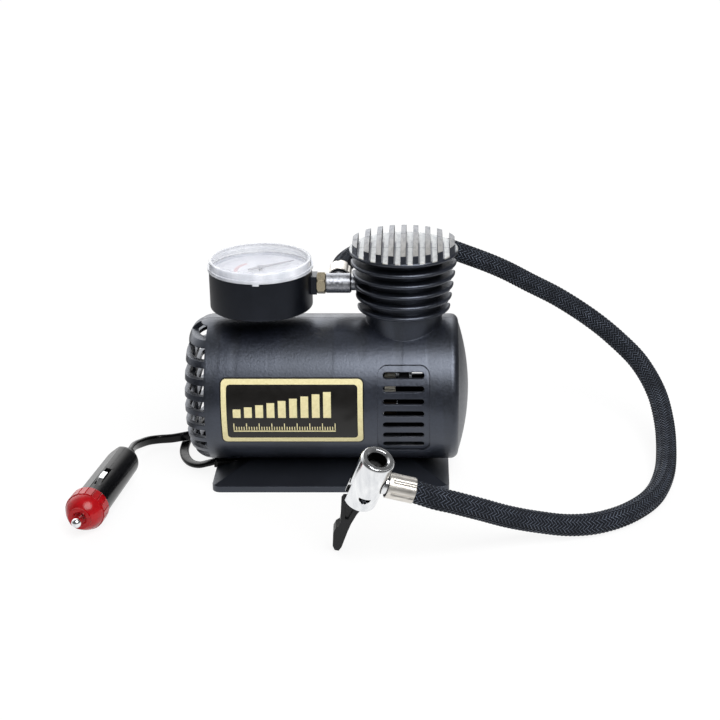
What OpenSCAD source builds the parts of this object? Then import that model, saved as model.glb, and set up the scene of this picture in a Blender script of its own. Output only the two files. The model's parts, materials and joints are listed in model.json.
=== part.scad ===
// Portable 12 V tire inflator: clamshell barrel with a finned pump tower, dial gauge, air hose
// with a thumb-lock chuck, and a lighter-socket power lead.
// Frame: X along the barrel, Y to the back, Z up, origin on the ground under the barrel's middle.

/* [Barrel] */
// Outside diameter of the barrel
barrel_d = 76; // [74:0.5:80]
// Length of the barrel from the louvred end to the crown of the domed end
barrel_len = 145; // [142:1:152]
// Gap between the barrel's underside and the ground
ground_gap = 7; // [6.5:0.5:10]
// Wall thickness of the moulded housing
wall = 2.4; // [2:0.1:3]
// Rounding of the louvred end
cage_round = 12; // [10:0.5:14]
// Depth of the slats of the louvred end
slat_depth = 2.6; // [2.4:0.1:3.2]
// Height of one louvre opening
louvre_h = 5.1; // [4:0.1:5.6]
// Distance from one louvre to the next
louvre_pitch = 7.85; // [7.6:0.05:8.2]
// Length of barrel that the louvres reach along the sides
louvre_reach = 11; // [9:0.5:14]
// Crown height of the domed end
dome_rise = 5.3; // [4:0.1:6]
// Edge rounding of the domed end
dome_edge = 4; // [3.5:0.1:5]
// Half of the parting gap between the two housing halves
parting = 0.12; // [0.05:0.01:0.2]

/* [Pump tower] */
// Place of the tower's axis along the barrel
tower_x = 39; // [38:0.5:40]
// Radius of the tower between its fins
tower_r = 19.6; // [19.6:0.1:20.5]
// Radius of the uppermost fin, the head's floor
fin_r = 27.9; // [26.5:0.1:29]
// How much smaller each fin is than the one above
fin_step = 0.8; // [0.4:0.1:1]
// Number of fins
fin_count = 6; // [4:1:6]
// Distance from one fin to the next
fin_pitch = 5.95; // [5.5:0.05:6]
// Thickness of one fin
fin_t = 2.2; // [1.8:0.1:2.6]
// Angle from the parting line at which the fins of the back half begin, which keeps them off the hose
back_fin_skip = 15; // [0:1:25]
// Height of the head's floor above the barrel's axis
tower_h = 76.1; // [76:0.1:79]
// Radius of the space inside the tower
tower_bore_r = 17.5; // [17.3:0.1:17.6]
// Number of cooling ribs on the head
rib_count = 9; // [5:2:9]
// Distance from one head rib to the next
rib_pitch = 6.15; // [5.8:0.05:6.3]
// Thickness of one head rib
rib_t = 2.6; // [2:0.1:3]
// Height of the head ribs at the middle
rib_h = 7.4; // [6:0.1:8]
// How much lower the crowned ribs are at the head's edge
rib_fall = 3.9; // [2:0.1:4.4]

/* [Vents and label] */
// Length of one vent slot
vent_len = 21; // [18:0.5:22]
// Height of one vent slot
vent_h = 3.1; // [2.4:0.1:3.6]
// Distance from one vent slot to the next
vent_pitch = 6.25; // [5.8:0.05:6.5]
// Number of vent slots on each side
vent_count = 7; // [3:2:7]
// Width of the recessed panel round the vents
panel_w = 26.6; // [25:0.1:28]
// Height of the recessed panel round the vents
panel_h = 47.2; // [44:0.1:50]
// Depth of the recessed panel
panel_depth = 0.7; // [0.4:0.1:1]
// Corner rounding of the recessed panel
panel_round = 5; // [3:0.5:7]
// Length of the label plate
label_len = 72.5; // [60:0.5:74]
// Height of the label plate, measured straight up
label_h = 35.4; // [28:0.1:38]
// Height of the label's middle above the barrel's axis
label_rise = 0.6; // [0:0.1:1]
// Place of the label's middle along the barrel
label_x = -17.2; // [-19:0.1:-16]
// Corner rounding of the label plate
label_round = 3; // [1:0.5:5]
// Thickness of the label plate
label_t = 0.3; // [0.2:0.05:0.5]

/* [Foot] */
// Length of the foot along the barrel
foot_len = 122.5; // [118:0.5:126]
// Width of the foot, front to back
foot_w = 70.6; // [66:0.2:74]
// Place of the foot's middle along the barrel
foot_x = 1.2; // [0:0.1:2]
// Height of the foot's upright edge
foot_edge = 3.2; // [2.8:0.1:3.6]
// Rise of the foot's sloping top for each millimetre inwards
foot_slope = 0.352; // [0.32:0.001:0.4]
// Corner rounding of the foot
foot_round = 4.5; // [3:0.5:7]
// Wall thickness of the foot
foot_wall = 2; // [1.6:0.1:2.2]

/* [Pump] */
// Bore of the pump cylinder
bore_d = 22.4; // [21:0.1:22.6]
// Wall of the pump cylinder
bore_wall = 2.4; // [2:0.1:2.4]
// Length of the pump cylinder
cylinder_len = 21.5; // [21:0.1:22]
// Throw of the crank pin
crank_throw = 6; // [5:0.1:6]
// Length of the connecting rod between its two eyes
rod_len = 28; // [27.8:0.1:28.4]
// Height of the crank's axle above the barrel's axis
crank_h = 10; // [9.8:0.1:10.2]
// Gear module
gear_module = 0.85; // [0.82:0.01:0.86]
// Teeth of the crank gear
gear_teeth = 36; // [35:1:37]
// Teeth of the motor pinion
pinion_teeth = 12; // [12:1:13]
// Width of the crank gear
gear_w = 5.5; // [4.5:0.1:5.5]
// Diameter of the gear's axle
axle_d = 6; // [5:0.1:7]
// Running clearance of shafts in their bushes
run_fit = 0.05; // [0.02:0.01:0.08]

/* [Motor] */
// Diameter of the motor can
motor_d = 35.8; // [34:0.1:36]
// Length of the motor can
motor_len = 54; // [50:0.5:57]
// Diameter of the motor shaft
shaft_d = 3.2; // [3:0.1:4]

/* [Gauge] */
// Diameter of the gauge's drum
gauge_d = 52.6; // [50:0.1:54]
// Place of the gauge's axis along the barrel
gauge_x = -34.2; // [-35:0.1:-34]
// How far the drum's underside lies below the air line's axis
gauge_drop = 11.9; // [11:0.1:14]
// Height of the drum
gauge_h = 20.3; // [19.5:0.1:21]
// Height of the clear crystal
crystal_h = 5; // [4.5:0.1:6]
// Height of the air line's axis above the barrel's axis
line_h = 57; // [56.8:0.1:57.2]
// Diameter of the outlet manifold
manifold_d = 10.2; // [9.6:0.1:11]
// Length of the outlet manifold
manifold_len = 13.2; // [12.6:0.1:13.2]
// Diameter of the nipple between manifold and pump head
nipple_d = 7.6; // [7:0.1:7.8]

/* [Hose and chuck] */
// Diameter of the braided hose
hose_d = 11; // [10:0.1:11.4]
// Diameter of the crimped ferrules
ferrule_d = 12.2; // [12:0.1:12.6]
// Diameter of the chuck's body
chuck_d = 16; // [15.4:0.1:17]
// Length of the chuck's body
chuck_len = 29; // [28.5:0.5:32]
// Bore that takes the tyre valve
valve_bore_d = 8.4; // [8.2:0.1:9]
// Travel of the chuck's seal
seal_travel = 1.2; // [0.8:0.1:1.2]
// Length of the thumb lever from its pivot
lever_len = 42.5; // [41:0.5:43]

/* [Lighter plug] */
// Diameter of the plug's shell at the nut
plug_d = 18; // [17.6:0.1:18.4]
// Diameter of the plug's shell at the lead
plug_tail_d = 16.8; // [16:0.1:17.4]
// Length of the plug's shell
plug_len = 55; // [52:0.5:58]
// Diameter of the screwed nose over its grip
nose_d = 20; // [19.6:0.1:20]
// Travel of the sprung tip
tip_travel = 3; // [2:0.1:3]
// Travel of the side contacts
contact_travel = 1.1; // [0.8:0.1:1.2]

/* [Power lead] */
// Width of the flat twin lead
lead_w = 5; // [4.6:0.1:5.2]
// Thickness of the flat twin lead
lead_t = 2.7; // [2.4:0.1:2.8]
// Mean diameter of the stored coil
coil_d = 55; // [52:1:60]
// Width of the stored coil's bundle of turns
coil_bundle_w = 20; // [18:0.5:22]
// Height of the stored coil's bundle of turns
coil_bundle_h = 12.6; // [12:0.3:18]

/* [Hidden] */

$fn = 72;
eps = 0.01;
// Play between parts that stand still against each other
seat = 0.05;
// Air between parts that pass each other
air = 0.3;

barrel_r = barrel_d / 2;
axis_z = barrel_r + ground_gap;
crank_z = axis_z + crank_h;
head_z = axis_z + tower_h;
line_z = axis_z + line_h;
gauge_z = line_z - gauge_drop;
x_cage = -barrel_len / 2;
x_dome = barrel_len / 2;
x_shoulder = x_dome - dome_rise;
dome_r = (pow(barrel_r - dome_edge, 2) + pow(dome_rise, 2)) / (2 * dome_rise);

// ---------- Plain helpers ----------

// Turns a shape built on the Z axis so that it lies along X
module along_x() {
    rotate([0, 90, 0]) children();
}

// Turns a shape built on the Z axis so that it points to the back
module along_y() {
    rotate([-90, 0, 0]) children();
}

// A tube, or a disc with a hole
module ring(r_out, r_in, h) {
    difference() {
        cylinder(r = r_out, h = h);
        translate([0, 0, -1]) cylinder(r = r_in, h = h + 2);
    }
}

// A rectangle with round corners, made of true arcs
module round_rect(w, h, r) {
    square([w - 2 * r, h], center = true);
    square([w, h - 2 * r], center = true);
    for (sx = [-1, 1]) for (sy = [-1, 1]) translate([sx * (w / 2 - r), sy * (h / 2 - r)]) circle(r);
}

// A plate with round corners that stands in the XZ plane, seen from the front
module front_plate(w, h, r, depth) {
    rotate([90, 0, 0]) linear_extrude(depth) round_rect(w, h, r);
}

// ---------- Housing ----------

// Half section of the barrel: radius across, length upwards
module barrel_section(inset) {
    r = barrel_r - inset;
    round_r = cage_round - inset;
    edge_r = dome_edge - inset;
    y0 = x_cage + inset;
    y1 = x_shoulder - inset;
    translate([0, y0 + round_r]) square([r, y1 - edge_r - y0 - round_r]);
    translate([0, y0]) square([r - round_r, round_r + 1]);
    translate([r - round_r, y0 + round_r]) circle(round_r);
    translate([0, y1 - edge_r - 1]) square([r - edge_r, edge_r + 1]);
    translate([r - edge_r, y1 - edge_r]) circle(edge_r);
    intersection() {
        translate([0, y1 - 1]) square([r - edge_r, dome_rise + 1]);
        translate([0, x_dome - dome_r]) circle(dome_r - inset, $fn = 180);
    }
}

// The half of the barrel that lies behind the parting plane
module barrel_half(inset) {
    translate([0, 0, axis_z]) along_x() rotate_extrude(angle = 180) barrel_section(inset);
}

// The space inside that half, narrower behind the slats
module barrel_space() {
    translate([0, 0, axis_z]) along_x() rotate_extrude() {
        barrel_section(slat_depth);
        intersection() {
            barrel_section(wall);
            translate([0, x_cage + louvre_reach]) square([barrel_r, barrel_len]);
        }
    }
}

function fin_z(i) = head_z - i * fin_pitch;

// Half of the tower: a core with round-edged fins, whose lower ones leave out an angle at both ends
module tower_half(fin_skip) {
    rotate_extrude(angle = 180) translate([0, axis_z]) square([tower_r, head_z - axis_z]);
    for (i = [0 : fin_count - 1]) let (skip = i > 0 ? fin_skip : 0, edge_r = fin_r - i * fin_step - fin_t / 2)
        rotate([0, 0, skip]) rotate_extrude(angle = 180 - 2 * skip) translate([0, fin_z(i) - fin_t]) {
            translate([tower_r - 1, 0]) square([edge_r - tower_r + 1, fin_t]);
            translate([edge_r, fin_t / 2]) circle(fin_t / 2);
        }
}

// Crowned ribs on the head, running front to back
module head_ribs() {
    crown_r = (fin_r * fin_r + rib_fall * rib_fall) / (2 * rib_fall);
    intersection() {
        for (i = [0 : rib_count - 1])
            translate([tower_x + (i - (rib_count - 1) / 2) * rib_pitch - rib_t / 2, 0, head_z - 1])
                cube([rib_t, fin_r, rib_h + 2]);
        translate([tower_x, 0, head_z + rib_h - crown_r]) sphere(crown_r, $fn = 180);
        translate([tower_x, 0, head_z - 1]) cylinder(r1 = fin_r - 0.4, r2 = fin_r - 1.7, h = rib_h + 2);
    }
}

module vent_slot() {
    square([vent_len - vent_h, vent_h], center = true);
    for (s = [-1, 1]) translate([s * (vent_len - vent_h) / 2, 0]) circle(vent_h / 2);
}

// Vents of the back half with their recessed panel
module vent_cuts() {
    translate([tower_x, 0, axis_z]) rotate([0, 0, 180]) {
        for (i = [0 : vent_count - 1]) translate([0, 0, (i - (vent_count - 1) / 2) * vent_pitch])
            rotate([90, 0, 0]) linear_extrude(barrel_r + 2) vent_slot();
        intersection() {
            translate([-panel_w, 0, 0]) along_x() ring(barrel_r + 1, barrel_r - panel_depth, 2 * panel_w);
            front_plate(panel_w, panel_h, panel_round, barrel_r + 2);
        }
    }
}

// The louvre openings run straight to the back, so that the half draws from its mould
module louvre_cuts() {
    bridge = 1.4;
    reach = barrel_r - wall / 2;
    count = floor((2 * reach - louvre_h) / louvre_pitch / 2) * 2 + 2;
    intersection() {
        for (i = [0 : count - 1])
            translate([x_cage - 1, bridge, axis_z + (i - (count - 1) / 2) * louvre_pitch - louvre_h / 2])
                cube([louvre_reach + 1, barrel_r, louvre_h]);
        translate([x_cage - 2, 0, axis_z - reach]) cube([louvre_reach + 4, barrel_r + 4, 2 * reach]);
    }
}

// The label lies in a shallow pocket on the front
module label_band(r_out, r_in) {
    intersection() {
        translate([label_x - label_len, 0, axis_z]) along_x() ring(r_out, r_in, 2 * label_len);
        translate([label_x, 0, axis_z + label_rise]) front_plate(label_len, label_h, label_round, barrel_r + 2);
    }
}

clamp_x = [x_cage + 21.5, x_dome - 11.5];
clamp_dz = [barrel_r - 13.5, barrel_r - 17.5];
boss_r = 4;
clamp_head_y = 21;
clamp_reach = 12;
clamp_r = 1.5;
clamp_head_r = 3;
clamp_head_h = 2;
nipple_hole_r = nipple_d / 2 + seat;

// Children stand on Z at the first origin and are laid towards the back at each clamping screw
module at_clamps() {
    for (i = [0, 1]) for (s = [-1, 1])
        translate([clamp_x[i], 0, axis_z + s * clamp_dz[i]]) along_y() children();
}

foot_screw_x = [foot_x - 40, foot_x + 40];
foot_screw_y = 9;
foot_head_z = 2.4;
foot_screw_top = ground_gap + 7.5;
foot_screw_r = 1.5;

module at_foot_screws() {
    for (x = foot_screw_x) for (s = [-1, 1]) translate([x, s * foot_screw_y, 0]) children();
}

// One half of the moulding with its bosses, which hold a screw of radius hole_r
module housing_half(hole_r, fin_skip) {
    difference() {
        union() {
            difference() {
                union() {
                    barrel_half(0);
                    translate([tower_x, 0, 0]) tower_half(fin_skip);
                    head_ribs();
                    translate([tower_x - fin_r + 3.6, 0, line_z]) along_x()
                        cylinder(r = nipple_hole_r + 2.2, h = fin_r - tower_r + 1);
                }
                barrel_space();
                translate([tower_x, 0, axis_z]) cylinder(r = tower_bore_r, h = head_z - 4 - axis_z);
            }
            intersection() {
                barrel_half(wall / 2);
                union() {
                    at_clamps() cylinder(r = boss_r, h = barrel_r);
                    at_foot_screws() cylinder(r = boss_r - 0.5, h = foot_screw_top + 0.8);
                }
            }
        }
        translate([tower_x - fin_r, 0, line_z]) along_x() cylinder(r = nipple_hole_r, h = fin_r);
        vent_cuts();
        louvre_cuts();
        at_clamps() translate([0, 0, -1]) cylinder(r = hole_r, h = clamp_reach + 1);
        at_foot_screws() translate([0, 0, -1]) cylinder(r = foot_screw_r + seat, h = foot_screw_top + 1.3);
        translate([-barrel_len, -boss_r * 2, 0]) cube([2 * barrel_len, boss_r * 2 + parting, 2 * head_z]);
    }
}

module housing_front() {
    color("#1d1f22") difference() {
        mirror([0, 1, 0]) housing_half(clamp_r + seat, 0);
        label_band(barrel_r + 1, barrel_r - label_t - seat);
    }
}

module housing_back() {
    color("#1d1f22") difference() {
        housing_half(clamp_r + seat, back_fin_skip);
        at_clamps() {
            cylinder(r = clamp_r + seat, h = barrel_r);
            translate([0, 0, clamp_head_y]) cylinder(r = clamp_head_r + seat, h = barrel_r);
        }
    }
}

// Pan-head screw: the head stands on the origin and the shank hangs below it
module pan_screw(r, head_r, head_h, len) {
    difference() {
        union() {
            translate([0, 0, -len]) cylinder(r = r, h = len + head_h / 2);
            cylinder(r = head_r, h = head_h);
        }
        for (a = [0, 90]) rotate([0, 0, a]) translate([-head_r * 0.55, -0.35, head_h - 0.9])
            cube([head_r * 1.1, 0.7, 1]);
    }
}

module housing_screws() {
    color("#8d9196") at_clamps() translate([0, 0, clamp_head_y])
        pan_screw(clamp_r, clamp_head_r, clamp_head_h, clamp_head_y + clamp_reach);
}

module label_plate() {
    color("#17161a") label_band(barrel_r, barrel_r - label_t);
}

// ---------- Foot ----------

// The foot's outer form drawn in by a wall: an upright edge under a sloping, hipped top
module foot_form(inset, lift) {
    edge_l = foot_len / 2 - inset;
    edge_w = foot_w / 2 - inset;
    top = axis_z - barrel_r + 5.5 - inset;
    run = (top - foot_edge + inset) / foot_slope;
    z1 = foot_edge - inset;
    translate([foot_x, 0, 0]) intersection() {
        translate([0, 0, lift]) linear_extrude(top) round_rect(2 * edge_l, 2 * edge_w, foot_round - inset);
        translate([0, foot_w, 0]) rotate([90, 0, 0]) linear_extrude(2 * foot_w)
            polygon([[-edge_l, lift], [edge_l, lift], [edge_l, z1], [edge_l - run, top], [run - edge_l, top],
                [-edge_l, z1]]);
        translate([-foot_len, 0, 0]) rotate([90, 0, 90]) linear_extrude(2 * foot_len)
            polygon([[-edge_w, lift], [edge_w, lift], [edge_w, z1], [edge_w - run, top], [run - edge_w, top],
                [-edge_w, z1]]);
    }
}

grommet_y = -7;
grommet_z = 4.4;
grommet_w = lead_w + 2.6;
grommet_h = lead_t + 1.7;
grommet_x0 = foot_x - foot_len / 2 - 1.5;
grommet_x1 = foot_x - foot_len / 2 + 14;

module base_foot() {
    pad_r = boss_r + 0.5;
    color("#1b1c1f") difference() {
        union() {
            difference() {
                foot_form(0, 0);
                foot_form(foot_wall, -1);
            }
            intersection() {
                foot_form(0.5, 0);
                union() {
                    at_foot_screws() cylinder(r = pad_r, h = axis_z);
                    for (x = foot_screw_x) translate([x - 0.9, -foot_w / 2, 0.4]) cube([1.8, foot_w, axis_z]);
                    translate([foot_x - 0.9, -foot_w / 2, 0.4]) cube([1.8, foot_w, axis_z]);
                    translate([foot_x - foot_len / 2, -0.9, 0.4]) cube([foot_len, 1.8, axis_z]);
                    translate([foot_x - foot_len / 2 + 12, grommet_y - grommet_w / 2 - 1.6, 0.4])
                        cube([4, grommet_w + 3.2, axis_z]);
                }
            }
        }
        translate([-barrel_len, 0, axis_z]) along_x() cylinder(r = barrel_r + seat, h = 2 * barrel_len);
        at_foot_screws() {
            translate([0, 0, -1]) cylinder(r = foot_screw_r + seat, h = axis_z);
            translate([0, 0, -1]) cylinder(r = clamp_head_r + seat, h = foot_head_z + clamp_head_h + 1);
        }
        translate([grommet_x0 - 1, grommet_y - grommet_w / 2 - seat, grommet_z - grommet_h / 2 - seat])
            cube([grommet_x1 - grommet_x0 + 1, grommet_w + 2 * seat, grommet_h + 2 * seat + 4]);
    }
}

module base_screws() {
    color("#8d9196") at_foot_screws() translate([0, 0, foot_head_z + clamp_head_h]) mirror([0, 0, 1])
        pan_screw(foot_screw_r, clamp_head_r, clamp_head_h, foot_screw_top - foot_head_z - clamp_head_h);
}

// ---------- Gears ----------

function involute(a) = tan(a) - a * PI / 180;

// Half angle that a tooth takes at radius r, thinned by play for backlash
function tooth_half(r, pitch_r, teeth, play) =
    90 / teeth - play / pitch_r * 90 / PI
    + (involute(20) - involute(acos(min(1, pitch_r * cos(20) / r)))) * 180 / PI;

// Spur gear outline with involute flanks
module gear_outline(teeth, play) {
    pitch_r = gear_module * teeth / 2;
    base_r = pitch_r * cos(20);
    tip_r = pitch_r + gear_module * 0.9;
    root_r = pitch_r - gear_module * 1.2;
    flank = [root_r, max(base_r, root_r + 0.1), pitch_r, (pitch_r + tip_r) / 2, tip_r];
    polygon([for (t = [0 : teeth - 1]) each [
        for (k = [0 : 4]) let (a = t * 360 / teeth - tooth_half(max(flank[k], base_r), pitch_r, teeth, play))
            [flank[k] * cos(a), flank[k] * sin(a)],
        for (k = [4 : -1 : 0]) let (a = t * 360 / teeth + tooth_half(max(flank[k], base_r), pitch_r, teeth, play))
            [flank[k] * cos(a), flank[k] * sin(a)]]]);
}

backlash = 0.3;
gear_pitch_r = gear_module * gear_teeth / 2;
pinion_pitch_r = gear_module * pinion_teeth / 2;
motor_z = crank_z - gear_pitch_r - pinion_pitch_r - 0.1;
axle_r = axle_d / 2;
rod_w = 5;
pin_r = 2.5;
rod_x = tower_x - rod_w / 2;
gear_x1 = rod_x - 2;
gear_x0 = gear_x1 - gear_w;
frame_x1 = gear_x0 - 2;
frame_t = 4;
frame_x0 = frame_x1 - frame_t;
bush_r = axle_r + 2;

module crank_gear() {
    color("#e8e4d8") difference() {
        translate([gear_x0, 0, crank_z]) along_x() {
            difference() {
                linear_extrude(gear_w) gear_outline(gear_teeth, backlash);
                translate([0, 0, gear_w - 1.5]) ring(gear_pitch_r - 2.6, 10.4, 3);
                translate([0, 0, -1]) cylinder(r = axle_r + seat, h = gear_w + 2);
            }
        }
        translate([gear_x0 - 1, -crank_throw, crank_z]) along_x() cylinder(r = pin_r + seat, h = gear_w + 2);
    }
}

module gear_axle() {
    color("#b9bcc0") translate([frame_x0 + air, 0, crank_z]) along_x() cylinder(r = axle_r, h = gear_x1 - frame_x0 - air);
}

module crank_pin() {
    color("#b9bcc0") translate([gear_x0, -crank_throw, crank_z]) along_x() {
        cylinder(r = pin_r, h = rod_x + rod_w + 1.6 - gear_x0);
        translate([0, 0, rod_x + rod_w + 0.4 - gear_x0]) cylinder(r = pin_r + 1.6, h = 1.2);
    }
}

module axle_bearing() {
    color("#b08d57") translate([frame_x0, 0, crank_z]) along_x() ring(bush_r, axle_r + run_fit, frame_t + 1.6);
}

// ---------- Gearbox frame ----------

shelf_t = 3;
cylinder_z = axis_z + 29.5;
bolt_r = 1.2;
bolt_ring = 15.2;
shelf_w = 2 * bolt_ring + 1.6;
web_w = 22;
head_plate_r = tower_bore_r - 0.4;
motor_bolt_dy = 12.5;
motor_bolt_r = 1.5;
motor_boss_r = 6.5;
motor_x1 = frame_x0;
motor_x0 = motor_x1 - motor_len;

module at_head_bolts() {
    for (a = [45 : 90 : 315]) translate([tower_x + bolt_ring * cos(a), bolt_ring * sin(a), 0]) children();
}

module gearbox_frame() {
    shelf_x1 = tower_x + shelf_w / 2;
    color("#9ea2a6") difference() {
        union() {
            translate([frame_x0, 0, motor_z]) along_x() cylinder(r = motor_d / 2 - 0.4, h = frame_t);
            translate([frame_x0, -web_w / 2, motor_z]) cube([frame_t, web_w, cylinder_z - motor_z]);
            translate([frame_x0, -shelf_w / 2, cylinder_z - shelf_t - 9]) cube([frame_t, shelf_w, shelf_t + 9]);
            translate([frame_x0, -shelf_w / 2, cylinder_z - shelf_t])
                cube([shelf_x1 - frame_x0, shelf_w, shelf_t]);
        }
        translate([tower_x, 0, cylinder_z - shelf_t - 1]) cylinder(r = bore_d / 2 + 0.9, h = shelf_t + 2);
        translate([frame_x0 - 1, 0, crank_z]) along_x() cylinder(r = bush_r, h = frame_t + 2);
        translate([frame_x0 - 1, 0, motor_z]) along_x() cylinder(r = motor_boss_r + seat, h = frame_t + 2);
        for (s = [-1, 1]) translate([frame_x0 - 1, s * motor_bolt_dy, motor_z]) along_x()
            cylinder(r = motor_bolt_r + seat, h = frame_t + 2);
        at_head_bolts() translate([0, 0, cylinder_z - shelf_t - 1]) cylinder(r = bolt_r + seat, h = shelf_t + 2);
    }
}

// ---------- Motor ----------

motor_wall = 1.4;
cap_t = 5;
rotor_gap = 0.5;
magnet_t = 5;
magnet_r = motor_d / 2 - motor_wall - seat;
rotor_r = magnet_r - magnet_t - rotor_gap;
shaft_r = shaft_d / 2;
tail_bush = 3;
terminal_w = 5;
terminal_t = 0.8;

module motor_can() {
    color("#a8abae") translate([motor_x0, 0, motor_z]) along_x() difference() {
        union() {
            cylinder(r = motor_d / 2, h = motor_len);
            translate([0, 0, motor_len - 1]) cylinder(r = motor_boss_r, h = frame_t);
        }
        translate([0, 0, -1]) cylinder(r = motor_d / 2 - motor_wall, h = motor_len + 1 - motor_wall);
        cylinder(r = shaft_r + run_fit, h = motor_len + frame_t);
        for (s = [-1, 1]) translate([0, s * motor_bolt_dy, motor_len - 2 * motor_wall])
            cylinder(r = motor_bolt_r + seat, h = 3 * motor_wall);
    }
}

module motor_end_cap() {
    color("#2b2b2e") translate([motor_x0 - cap_t, 0, motor_z]) along_x() difference() {
        union() {
            cylinder(r = motor_d / 2 - 0.6, h = cap_t);
            translate([0, 0, cap_t - 1]) cylinder(r = motor_d / 2 - motor_wall - seat, h = 3);
            translate([0, 0, -tail_bush]) cylinder(r = 5, h = tail_bush + 1);
        }
        translate([0, 0, 0.3 - tail_bush]) cylinder(r = shaft_r + run_fit, h = tail_bush + cap_t + 3);
        translate([0, 0, cap_t - 3.4]) cylinder(r = 9, h = 6);
        for (s = [-1, 1]) translate([-terminal_t / 2 - seat, s * motor_bolt_dy - terminal_w / 2 - seat, -1])
            cube([terminal_t + 2 * seat, terminal_w + 2 * seat, cap_t + 4]);
    }
}

module motor_terminals() {
    color("#c8a858") for (s = [-1, 1])
        translate([motor_x0 - cap_t - 6, s * motor_bolt_dy, motor_z - terminal_t / 2]) difference() {
            translate([0, -terminal_w / 2, 0]) cube([cap_t + 9, terminal_w, terminal_t]);
            translate([1.8, 0, -1]) cylinder(r = 0.8, h = 3);
        }
}

module motor_magnets() {
    magnet_len = 30;
    magnet_w = 24;
    pole_gap = 3;
    color("#4a4744") translate([motor_x0 + 13, 0, motor_z]) along_x() intersection() {
        ring(magnet_r, magnet_r - magnet_t, magnet_len);
        for (s = [-1, 1]) translate([-magnet_w / 2, s > 0 ? pole_gap : -motor_d, -1])
            cube([magnet_w, motor_d - pole_gap, magnet_len + 2]);
    }
}

module motor_screws() {
    color("#8d9196") for (s = [-1, 1]) translate([frame_x1, s * motor_bolt_dy, motor_z]) along_x()
        pan_screw(motor_bolt_r, 2.6, 1.5, frame_t + motor_wall);
}

module motor_shaft() {
    shaft_x0 = motor_x0 - cap_t - tail_bush + 0.5;
    color("#c3c6ca") translate([shaft_x0, 0, motor_z]) along_x() cylinder(r = shaft_r, h = gear_x1 + 1 - shaft_x0);
}

// Laminated core with three poles and their windings
module motor_rotor() {
    core_len = 27;
    color("#a85f35") translate([motor_x0 + 14.5, 0, motor_z]) along_x() difference() {
        union() {
            cylinder(r = 5, h = core_len);
            for (a = [0 : 120 : 240]) rotate([0, 0, a]) {
                translate([0, -2, 0]) cube([rotor_r - 2, 4, core_len]);
                translate([4.5, -4, -1.5]) cube([rotor_r - 8.5, 8, core_len + 3]);
                intersection() {
                    ring(rotor_r, rotor_r - 2.5, core_len);
                    linear_extrude(core_len) polygon([[0, 0], [20, -24], [20, 24]]);
                }
            }
        }
        translate([0, 0, -3]) cylinder(r = shaft_r + seat, h = core_len + 6);
    }
}

module motor_commutator() {
    color("#b8733a") translate([motor_x0 + 2, 0, motor_z]) along_x() difference() {
        cylinder(r = 4.4, h = 8);
        translate([0, 0, -1]) cylinder(r = shaft_r + seat, h = 10);
        for (a = [30 : 120 : 270]) rotate([0, 0, a]) translate([3.4, -0.3, 1]) cube([2, 0.6, 8]);
    }
}

module motor_pinion() {
    color("#c9a24e") translate([gear_x0 - 0.6, 0, motor_z]) along_x() difference() {
        rotate([0, 0, 180 / pinion_teeth]) linear_extrude(gear_w + 1) gear_outline(pinion_teeth, backlash);
        translate([0, 0, -1]) cylinder(r = shaft_r + seat, h = gear_w + 4);
    }
}

// ---------- Crank, piston and pump ----------

bore_r = bore_d / 2;
wrist_z = crank_z + sqrt(rod_len * rod_len - crank_throw * crank_throw);
rod_tilt = asin(crank_throw / rod_len);
wrist_r = 2;
piston_r = bore_r - 0.3;
piston_low = 4.2;
piston_high = 6.4;
ring_h = 2.4;
ring_depth = 1.6;
open_play = 0.9;

// Links crank pin and piston; its large eye is open enough for the modelled travel
module connecting_rod() {
    big_r = pin_r + open_play + 2;
    small_r = 4;
    color("#b4b7ba") translate([rod_x, 0, 0]) difference() {
        union() {
            translate([0, -crank_throw, crank_z]) along_x() cylinder(r = big_r, h = rod_w);
            translate([0, 0, wrist_z]) along_x() cylinder(r = small_r, h = rod_w);
            translate([0.8, -crank_throw, crank_z]) rotate([-rod_tilt, 0, 0])
                translate([0, -2.2, big_r - 1]) cube([rod_w - 1.6, 4.4, rod_len - big_r - small_r + 2]);
        }
        translate([-1, -crank_throw, crank_z]) along_x() cylinder(r = pin_r + open_play, h = rod_w + 2);
        translate([-1, 0, wrist_z]) along_x() cylinder(r = wrist_r + seat, h = rod_w + 2);
    }
}

module piston() {
    pocket = rod_w + 1.2;
    color("#c6c9cc") difference() {
        translate([tower_x, 0, wrist_z - piston_low]) cylinder(r = piston_r, h = piston_low + piston_high);
        translate([tower_x, 0, wrist_z + piston_high - 1.6 - ring_h])
            ring(piston_r + 1, piston_r - ring_depth, ring_h);
        translate([tower_x - pocket / 2, -6.2, wrist_z - piston_low - 1]) cube([pocket, 12.4, piston_low + 5.1]);
        translate([tower_x - piston_r, 0, wrist_z]) along_x() cylinder(r = wrist_r + seat, h = 2 * piston_r);
    }
}

module piston_ring() {
    color("#2a2a2a") translate([tower_x, 0, wrist_z + piston_high - 1.6 - ring_h])
        ring(bore_r - run_fit, piston_r - ring_depth, ring_h);
}

module wrist_pin() {
    color("#d0d3d6") translate([tower_x - piston_r + 1.2, 0, wrist_z]) along_x()
        cylinder(r = wrist_r, h = 2 * piston_r - 2.4);
}

module pump_cylinder() {
    color("#babdc1") translate([tower_x, 0, cylinder_z]) difference() {
        union() {
            cylinder(r = bore_r + bore_wall, h = cylinder_len);
            cylinder(r = head_plate_r, h = 2.5);
            for (i = [1 : 4]) translate([0, 0, 2.5 + i * 3.4]) cylinder(r = bore_r + bore_wall + 0.2, h = 1);
        }
        translate([0, 0, -1]) cylinder(r = bore_r, h = cylinder_len + 2);
        translate([-tower_x, 0, 0]) at_head_bolts() translate([0, 0, -1]) cylinder(r = bolt_r + seat, h = 5);
    }
}

gasket_z = cylinder_z + cylinder_len;
gasket_t = 0.5;
plate_t = 2;
pump_head_z = gasket_z + gasket_t + plate_t;
pump_head_h = 13;

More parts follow.
